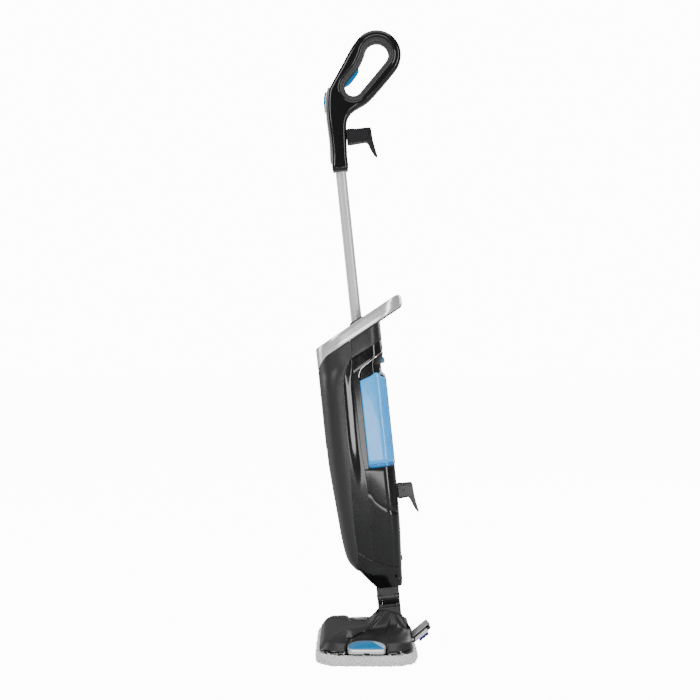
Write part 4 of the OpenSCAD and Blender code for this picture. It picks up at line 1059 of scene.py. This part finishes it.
bootTops = []
for k in range(len(bootRings[0])):
    y = bootAt(k, 80)[1]
    y = bootAt(k, bootLine(y) if y > -46 else 64)[1]
    bootTops.append(mixTo(64, bootLine(y) - 0.2, ease((y + 49) / 3)))
rows = []
for k in [-0.004, 0, 0.02, 0.05] + spread(0.1, 0.94, 16) + [0.97, 1]:
    tuck = 1.2 if k < 0 else 0.4 if k == 0 else 0
    row = []
    for i, top in enumerate(bootTops):
        h = mixTo(30.8, top, k)
        x, y = bootAt(i, h)
        row.append((x * (1 - tuck / 30), y * (1 - tuck / 30), h))
    rows.append(row)
bootShell = addPiece("bootShell", *grid(rows, ring=True), "deepBlack", "stick", ["boot"], onStick, 50)
thicken(bootShell, 2.4)
for side in (-1, 1):
    rows = turned(((3.3, 31.5), (3.0, 30.2), (2.7, 27.8), (0.1, 27.8)), 32,
                  lambda u, v, x, side=side: (side * x, 25.7 + u, 45.9 + v))
    addPiece("bootScrewCup" + sideWord[side], *grid(rows, ring=True), "jointBlack", "stick", (), onStick, 50)
print("body shells made")

# water tank

def tankRing(h, inset, count=88):
    w, yr, y0 = along(columnHalf, h) - inset, 39.7 - inset, -9.5 + inset
    front = [(w - 2.6, y0), (w - 0.8, y0 + 0.7), (w, y0 + 2.5)]
    return bothSides(smoothPath(front + roundBack(w, -6, yr), count))


def tankTop(y):
    # the clear part's top edge climbs to a soft crest near the back
    return along([[-10, 410.4], [-2, 413.2], [10, 417.6], [21.4, 422.6], [26, 419.5], [30.5, 414.6], [36, 411.8],
                  [41, 411]], y)


rows = []
tankFoot = [(252.4, 5), (252.7, 2.6), (253.6, 1.1), (255, 0.3), (257, 0), (258.8, 0), (259.2, 0.35),
            (259.8, 0.35), (260.2, 0)]
for h, inset in tankFoot + [(h, 0) for h in spread(266, 404, 24)]:
    rows.append([(x, y - 1.6 * max(0, (262 - h) / 10) ** 2 * (1 if y > 20 else 0), h) for x, y in tankRing(h, inset)])
for k in (0.25, 0.5, 0.75, 0.93):
    rows.append([(x, y, mixTo(404, tankTop(y), k)) for x, y in tankRing(408, 0)])
rows.append([(x, y, tankTop(y)) for x, y in tankRing(408, 0.5)])
thicken(addPiece("tankShell", *capped(rows, high=False), "tankBlue", "tank", ["tank"], onStick, 50), 2.2)

# deeper blue band round the foot of the clear part
bandRows = [[(x, y, h) for x, y in tankRing(256, inset)] for h, inset in
            ((253.4, 1.2), (254.4, -0.05), (258.6, -0.25), (259.2, 0.1))]
addPiece("tankFootBand", *grid(bandRows, ring=True), "tankDeep", "tank", (), onStick, 50)

# gloss head over the tank, with the thumb notch across its back
headRows = []
notch = [[411, 0.4], [415, 0.6], [418.4, 1.6], [420, 3.8], [424, 5.9], [430, 6.6], [436, 6.4], [440, 5.2],
         [446, 3.2], [452, 1.6], [458, 0.8], [470, 0.7]]
for k in spread(0, 1, 22):
    row = []
    for x, y in tankRing(430, 0.5):
        z = mixTo(tankTop(y) - 0.6, hoodLine(y) - 1.6, k)
        share, deep = ease((y - 12) / 22), along(notch, z)
        row.append((x * (1 - 0.05 * share * (deep / 6.6)), y - deep * share + 0.7 * (1 - share), z))
    headRows.append(row)
for inset in (1.2, 3.5):
    headRows.append([(x, y, hoodLine(y) - 1.5) for x, y in tankRing(430, inset)])
addPiece("tankHead", *capped(headRows, low=False), "deepBlack", "tank", ["tank_head"], onStick, 50)

# silver line between head and hood, turning down at its front end
trim = {"wide": 1.7, "out": 0.55}
trimPath = [(-10.6, 417.2), (-9.6, 422), (-7.4, 427.6), (-4, 432.6), (0.8, 436.4), (8, 440.8), (20, 448.5),
            (30, 454.9), (36.4, 459.0)]
line = smoothPath(trimPath, 60)
w = along(columnHalf, 440)
for side in (-1, 1):
    rows = []
    for across in (-1, -0.8, 0.8, 1):
        row = []
        for i, p in enumerate(line):
            d = (line[min(i + 1, 59)] - line[max(i - 1, 0)]).normalized()
            y, z = p.x - d.y * across * trim["wide"] / 2, p.y + d.x * across * trim["wide"] / 2
            c = min(1, max(0, (y + 6) / 45.7)) ** (1 / 0.6)
            x = w * max(0.02, math.sqrt(max(0, 1 - c * c))) ** 0.6
            row.append((side * (x + (trim["out"] if abs(across) < 0.9 else -0.5)), y, z))
        rows.append(row)
    addPiece("trim" + sideWord[side], *grid(rows, flip=side > 0), "stripSilver", "tank",
             ["tank_trim"] if side > 0 else (), onStick, 50)

latch = [(24, 437.4), (37, 437.4), (39.4, 438.4), (40.2, 441), (40.2, 446), (39.4, 448.4), (37, 449.2), (24, 449.2)]
outlinePiece("tankLatch", [latch], -8, 8, 1.6, "signalBlue", "tank_latch", ["tank_latch"])
knobRings = ((4.2, -4), (4.8, 1.2), (4.6, 2.6), (3.6, 3.7), (1.8, 4.3), (0.2, 4.5))
for side in (-1, 1):
    rows = turned(knobRings, 40, lambda u, v, z, side=side: (side * 40 + u * 0.5, 24.5 + v, 417.6 + z))
    addPiece("tankKnob" + sideWord[side], *grid(rows, ring=True), "tankDeep", "tank", (), onStick, 60)
capRings = ((12.8, 4), (12.8, 12.1), (17.6, 12.1), (18.4, 12.9), (18.4, 16.9), (17.6, 17.8), (8, 18))
capRows = turned(capRings, 48, lambda u, v, y: (u, -y, 372 + v))
addPiece("fillerCap", *capped(capRows), "signalBlue", "filler_cap", ["filler_cap"], onStick, 40)
blockPiece("fillerGrip", (-14, -21.5, 368.5), (14, -17.6, 375.5), 1.2, "signalBlue", "filler_cap", (), onStick)
print("tank made")

# carry band, deck and pole

band = {"half": 63.4, "middle": -8, "front": 75.4, "rear": 90.6, "high": 24.9, "edge": 1.4}


def bandRing(inset, rearInset, count=200):
    ring = []
    for i in range(count):
        c, s = math.cos(2 * math.pi * i / count), math.sin(2 * math.pi * i / count)
        reach = band["rear"] - rearInset if s > 0 else band["front"] - inset
        p = 0.68 if s > 0 else 0.78
        ring.append(((band["half"] - inset) * power(c, p), band["middle"] + reach * power(s, p)))
    return ring


def bandTop(y):
    # the band's upper line, rounded off square to it at the rear end
    drop = 14.5 * (1 - math.sqrt(max(0, 1 - min(1, max(0, (y - 68.5) / 14.3)) ** 2)))
    return deckHeight + deckSlope * y + band["high"] - drop


rows = []
e = band["edge"]
for inset, low, up in [(7, 1, 1.2), (7, 0, 0.4), (e, 0, 0), (e * 0.3, 0, e * 0.3), (0, 0, e), (0, 0.34, 0),
                       (0, 0.67, 0)]:
    ring = bandRing(inset, inset if inset < 7 else 13)
    rows.append([(x, y, mixTo(topLine(y) + 0.3 + up, bandTop(y), low if low < 1 else 0)) for x, y in ring])
for inset, down in [(0, e), (e * 0.3, e * 0.3), (e, 0), (6, 0), (7, 0.6), (7, 9)]:
    ring = bandRing(inset, inset if inset < 6 else inset + 6)
    rows.append([(x, y, bandTop(y) - down) for x, y in ring])
rows[0] = [(x, y, z + 6) for x, y, z in rows[0]]
addPiece("carryBand", *grid(rows, ring=True), "bandSilver", "stick", ["carry_band"], onStick, 40)
gripRibs = {"count": 15, "pitch": 4.6, "half": 1.3}
for k in range(gripRibs["count"]):
    x = (k - 7) * gripRibs["pitch"]
    y = 74 - 0.0068 * x * x
    blockPiece("gripRib%02d" % (k + 1), (x - gripRibs["half"], y - 5, topLine(y) - 2.2),
               (x + gripRibs["half"], y + 4, topLine(y) + 0.2), 0.8, "ribRubber", "stick",
               ["band_grip"] if k == 7 else (),
               place=lambda a, b, c, y=y: onStick(a, b, c + deckSlope * (b - y)), segments=3)
# dark under side from the column to the band's tip
rows = []
for inset, down in ((1.6, -0.4), (1.8, 1.1), (3.0, 2.0), (9.5, 2.2), (12, 1.2), (12.4, -0.6)):
    ring = sorted((p for p in bandRing(inset, inset) if p[1] > 20), key=lambda p: p[0])
    rows.append([(x, y, topLine(y) + 0.2 - down) for x, y in ring])
addPiece("gripUnder", *grid(rows), "ribRubber", "stick", (), onStick, 50)

# the deck inside the band rises to a round collar for the pole
pole = {"y": -3.6, "radius": 10, "deckLow": 503.4, "collarWide": 24, "collarTop": 12.6}
deckSteps = ((1, -2), (0.985, 0.6), (0.95, 1.6), (0.8, 2.6), (0.6, 3.6), (0.42, 5.2), (0.3, 7.6), (0.24, 10.5),
             (0.205, 15), (0.2, 19))
rows = []
for k, rise in deckSteps:
    blend = ease((0.7 - k) / 0.4)
    r = mixTo(pole["collarWide"], pole["collarTop"], ease((0.42 - k) / 0.2))
    row = []
    for wide, deep in bandRing(8, 14):
        x, y = wide * k, mixTo(pole["y"], min(deep, 40), k)
        a = math.atan2(y - pole["y"], x)
        z = pole["deckLow"] + deckSlope * y * (1 if k > 0.4 else 0.6) + rise
        row.append((mixTo(x, r * math.cos(a), blend), mixTo(y, pole["y"] + r * math.sin(a), blend), z))
    rows.append(row)
addPiece("topDeck", *grid(rows, ring=True), "satinBlack", "stick", ["top_deck"], onStick, 50)

poleRows = turned([(pole["radius"], z) for z in [500, 505] + spread(515, 800, 40) + [812]], 96,
                  lambda u, v, z: (u, pole["y"] + v, z))
addPiece("poleTube", *grid(poleRows, ring=True), "poleMetal", "stick", ["pole"], onStick, 60)
collarRows = turned(((13.6, 508), (13.4, 520), (12.9, 521.4), (11.4, 522), (10.2, 521.6)), 72,
                    lambda u, v, z: (u, pole["y"] + v, z + 0.42 * v))
addPiece("poleCollar", *grid(collarRows, ring=True), "jointBlack", "stick", (), onStick, 50)
print("band, deck and pole made")

# cord hooks

hookSpecs = (("lowerHook", 202, 38.7, 66.9, "stick", "lower_hook"),
             ("upperHook", 856, 14.2, 59.3, "upper_hook", "upper_hook"))
for hookName, h, y0, y1, bodyName, nodeName in hookSpecs:
    line = [(y0, -13), (y0, -4), (y0, 4), (y0, 13), (mixTo(y0, y1, 0.5), 13.2), (y1 - 4, 13.1), (y1 - 0.6, 12.2)]
    line += [(y1 + 7 * t * t + 0.4, 13 - 55 * t) for t in (0.1, 0.3, 0.5, 0.7, 0.85)]
    line += [(y1 + 6.6, -40.5), (y1 + 5.2, -42), (y1 + 3.9, -40.5)]
    line += [(y1 + 3.6 * t * t - 8.8 * (1 - t), -42 + 29 * (1 - t)) for t in (0.85, 0.7, 0.5, 0.3, 0.12)]
    line += [(y1 - 10.5, -13.2), (mixTo(y0, y1, 0.45), -13.2)]
    loop = [(p.x, h + p.y) for p in smoothPath(line, 150, closed=True)]
    outlinePiece(hookName, [loop], -12, 12, 1.4, "jointBlack", bodyName, [nodeName], steps=4)
    recess = [(y0 + 4, h - 9.3), (y0 + 4, h + 9.3), (y1 - 7, h + 9.3), (y1 - 4.6, h + 7.4), (y1 - 10, h - 9.3)]
    inner = [(y0 + 4.9, h - 8.4), (y0 + 4.9, h + 8.4), (y1 - 7.6, h + 8.4), (y1 - 5.9, h + 6.9), (y1 - 10.7, h - 8.4)]
    for side in (-1, 1):
        border = [smoothPath(line, 80, closed=True) for line in (recess, inner)]
        outlinePiece(hookName + "Line" + sideWord[side], border,
                     side * 11.85 - 0.35, side * 11.85 + 0.35, 0.2, "deepBlack", bodyName, (), steps=2)
        dot = circleArc((mixTo(y0, y1, 0.4), h + 1), 1.3, 0, 345, 24)
        outlinePiece(hookName + "Dot" + sideWord[side], [dot], side * 11.9 - 0.4, side * 11.9 + 0.4, 0.25,
                     "deepBlack", bodyName, (), steps=2)
bossRows = turned(((9, 13.4), (9.4, 13.7), (9.4, 15.4)), 48, lambda u, v, y: (u, y, 856 + v))
addPiece("upperHookBoss", *capped(bossRows, high=False), "jointBlack", "upper_hook", (), onStick, 40)
print("hooks made")

# handle

loopCentre, heelCentre = (83.7, 1000.1), (35.2, 944.3)
outer = [(8.9, 796.5), (11.2, 820), (12.6, 843), (14.2, 866), (16, 880), (19.4, 890), (26.3, 898.6), (39.2, 906.3),
         (58.2, 915.3)]
outer += circleArc(loopCentre, 44.8, -41, 139, 48)
outer += [(38, 1016), (17.3, 985.6), (2, 964), (-5.6, 952.9), (-9.9, 946.3), (-12.9, 935.7), (-15.6, 918),
          (-16.9, 896.1), (-16.6, 875), (-16.1, 856), (-16.4, 826), (-17.2, 796.5)]
openingLine = circleArc(loopCentre, 21.4, -41, 150, 30)
openingLine += [(60.1, 999.2), (52.5, 985.8), (44.4, 975.2), (31.5, 962.4)]
openingLine += circleArc(heelCentre, 15.5, 150, 319, 24)


def smoothLoop(points, count, times=2):
    return relax(smoothPath(points, count, closed=True), times)


outerLine = smoothLoop(outer, 300, 1)
holeLine = smoothLoop(openingLine, 160, 2)
outward = 1 if areaOf(holeLine) > 0 else -1
liner = {"wide": 11.5, "half": 14.2}
handleHalfWidth = 16
outlinePiece("handleShell", [outerLine, grown(holeLine, 7.5 * outward)], -handleHalfWidth,
             handleHalfWidth, 8.6, "deepBlack", "stick", ["handle_left", "handle_right"], steps=9, angle=60)
outlinePiece("gripLiner", [grown(holeLine, liner["wide"] * outward), holeLine], -liner["half"],
             liner["half"], 5.2, "linerGrey", "stick", ["grip_liner"], steps=7, angle=60)
strip = [(-20.0, 810.7), (-19.2, 850), (-20.2, 896), (-19.4, 915), (-16.4, 935), (-10.2, 950.6), (-8.6, 949.2),
         (-12.6, 934), (-15.6, 915), (-16.2, 896), (-15.4, 856), (-16.6, 811.4)]
outlinePiece("handleStrip", [smoothLoop(strip, 160, 1)], -9.4, 9.4, 1.1, "stripSilver", "stick",
             ["handle_strip"])
button = [(-21.5, 905.6), (-22.2, 913), (-21.9, 924), (-20.2, 934), (-17.6, 941.4), (-14.6, 941.8), (-14.2, 925),
          (-14.4, 905.2)]
outlinePiece("steamButton", [smoothLoop(button, 90, 1)], -7, 7, 1.3, "signalBlue", "steam_button",
             ["steam_button"])
triggerLine = [(17.6, 951.5), (21.4, 948.4), (28.4, 951.4), (37, 959.4), (44.6, 967.6), (48.2, 973.4), (48.6, 977.2),
               (45.8, 978.2), (41, 973.4), (30, 962.6), (20, 956.4)]
outlinePiece("triggerLever", [smoothLoop(triggerLine, 110, 1)], -5.2, 5.2, 1.5, "signalBlue",
             "trigger", ["trigger"])
# lip at the foot of the handle, round the pole
lip = [(-18.2, 795.2), (-18.2, 799.6), (-17, 801), (9.4, 800.2), (10.2, 799), (9.9, 794.6)]
outlinePiece("handleLip", [lip], -16.6, 16.6, 1.1, "jointBlack", "stick", ())
print("handle made")


# studio

def addLight(name, size, power, location, target, tint=(1, 1, 1)):
    data = bpy.data.lights.new(name, "AREA")
    data.shape = "RECTANGLE"
    data.size, data.size_y = size
    data.energy = power
    data.color = tint
    lamp = bpy.data.objects.new(name, data)
    bpy.context.scene.collection.objects.link(lamp)
    lamp.location = location
    lamp.rotation_euler = (Vector(target) - Vector(location)).to_track_quat("-Z", "Y").to_euler()


addLight("keyBox", (1.2, 2.2), 60, (2.2, -2.6, 2.2), (0, 0, 0.55))
addLight("rearStrip", (0.35, 2.4), 34, (1.9, 2.4, 1.2), (0, 0, 0.5))
addLight("topBox", (2.5, 2.5), 40, (0.4, 0, 3.2), (0, 0, 0.4))
addLight("farFill", (1.6, 2.2), 40, (-2.6, 1.8, 1.8), (0, 0, 0.5))
addLight("frontFill", (1.0, 2.0), 22, (-1.4, -2.8, 1.2), (0, 0, 0.5))
addLight("lowFill", (2.2, 0.35), 16, (2.3, 0.2, 0.2), (0.1, 0, 0.02))

world = bpy.data.worlds.new("studio")
bpy.context.scene.world = world
world.use_nodes = True
air = Shades(world.node_tree)
backdrop = air.tree.nodes["Background"]
reflected, shown = (0.22, 0.22, 0.225), (13.0, 13.0, 13.0)
seen = air.node("LightPath", output="Is Camera Ray")
plug(air.tree, backdrop.inputs["Color"], air.mix(seen, reflected, shown))

floorFinish = Finish("paleFloor", Roughness=0.6)
floorFinish.set(Base_Color=floorFinish.mix(floorFinish.grain(2, 3), (0.42, 0.42, 0.42), (0.46, 0.46, 0.46)))
floorSeen = floorFinish.node("LightPath", output="Is Camera Ray")
floorFinish.set(Emission_Color=floorFinish.mix(floorSeen, (0.02, 0.02, 0.02), (1, 1, 1)), Emission_Strength=12.7)
floorMesh = bpy.data.meshes.new("floor")
reach = 30
floorMesh.from_pydata([(-reach, -reach, 0), (reach, -reach, 0), (reach, reach, 0), (-reach, reach, 0)], [],
                      [(0, 1, 2, 3)])
floorMesh.materials.append(floorFinish.material)
floor = bpy.data.objects.new("floor", floorMesh)
bpy.context.scene.collection.objects.link(floor)
print("studio set")
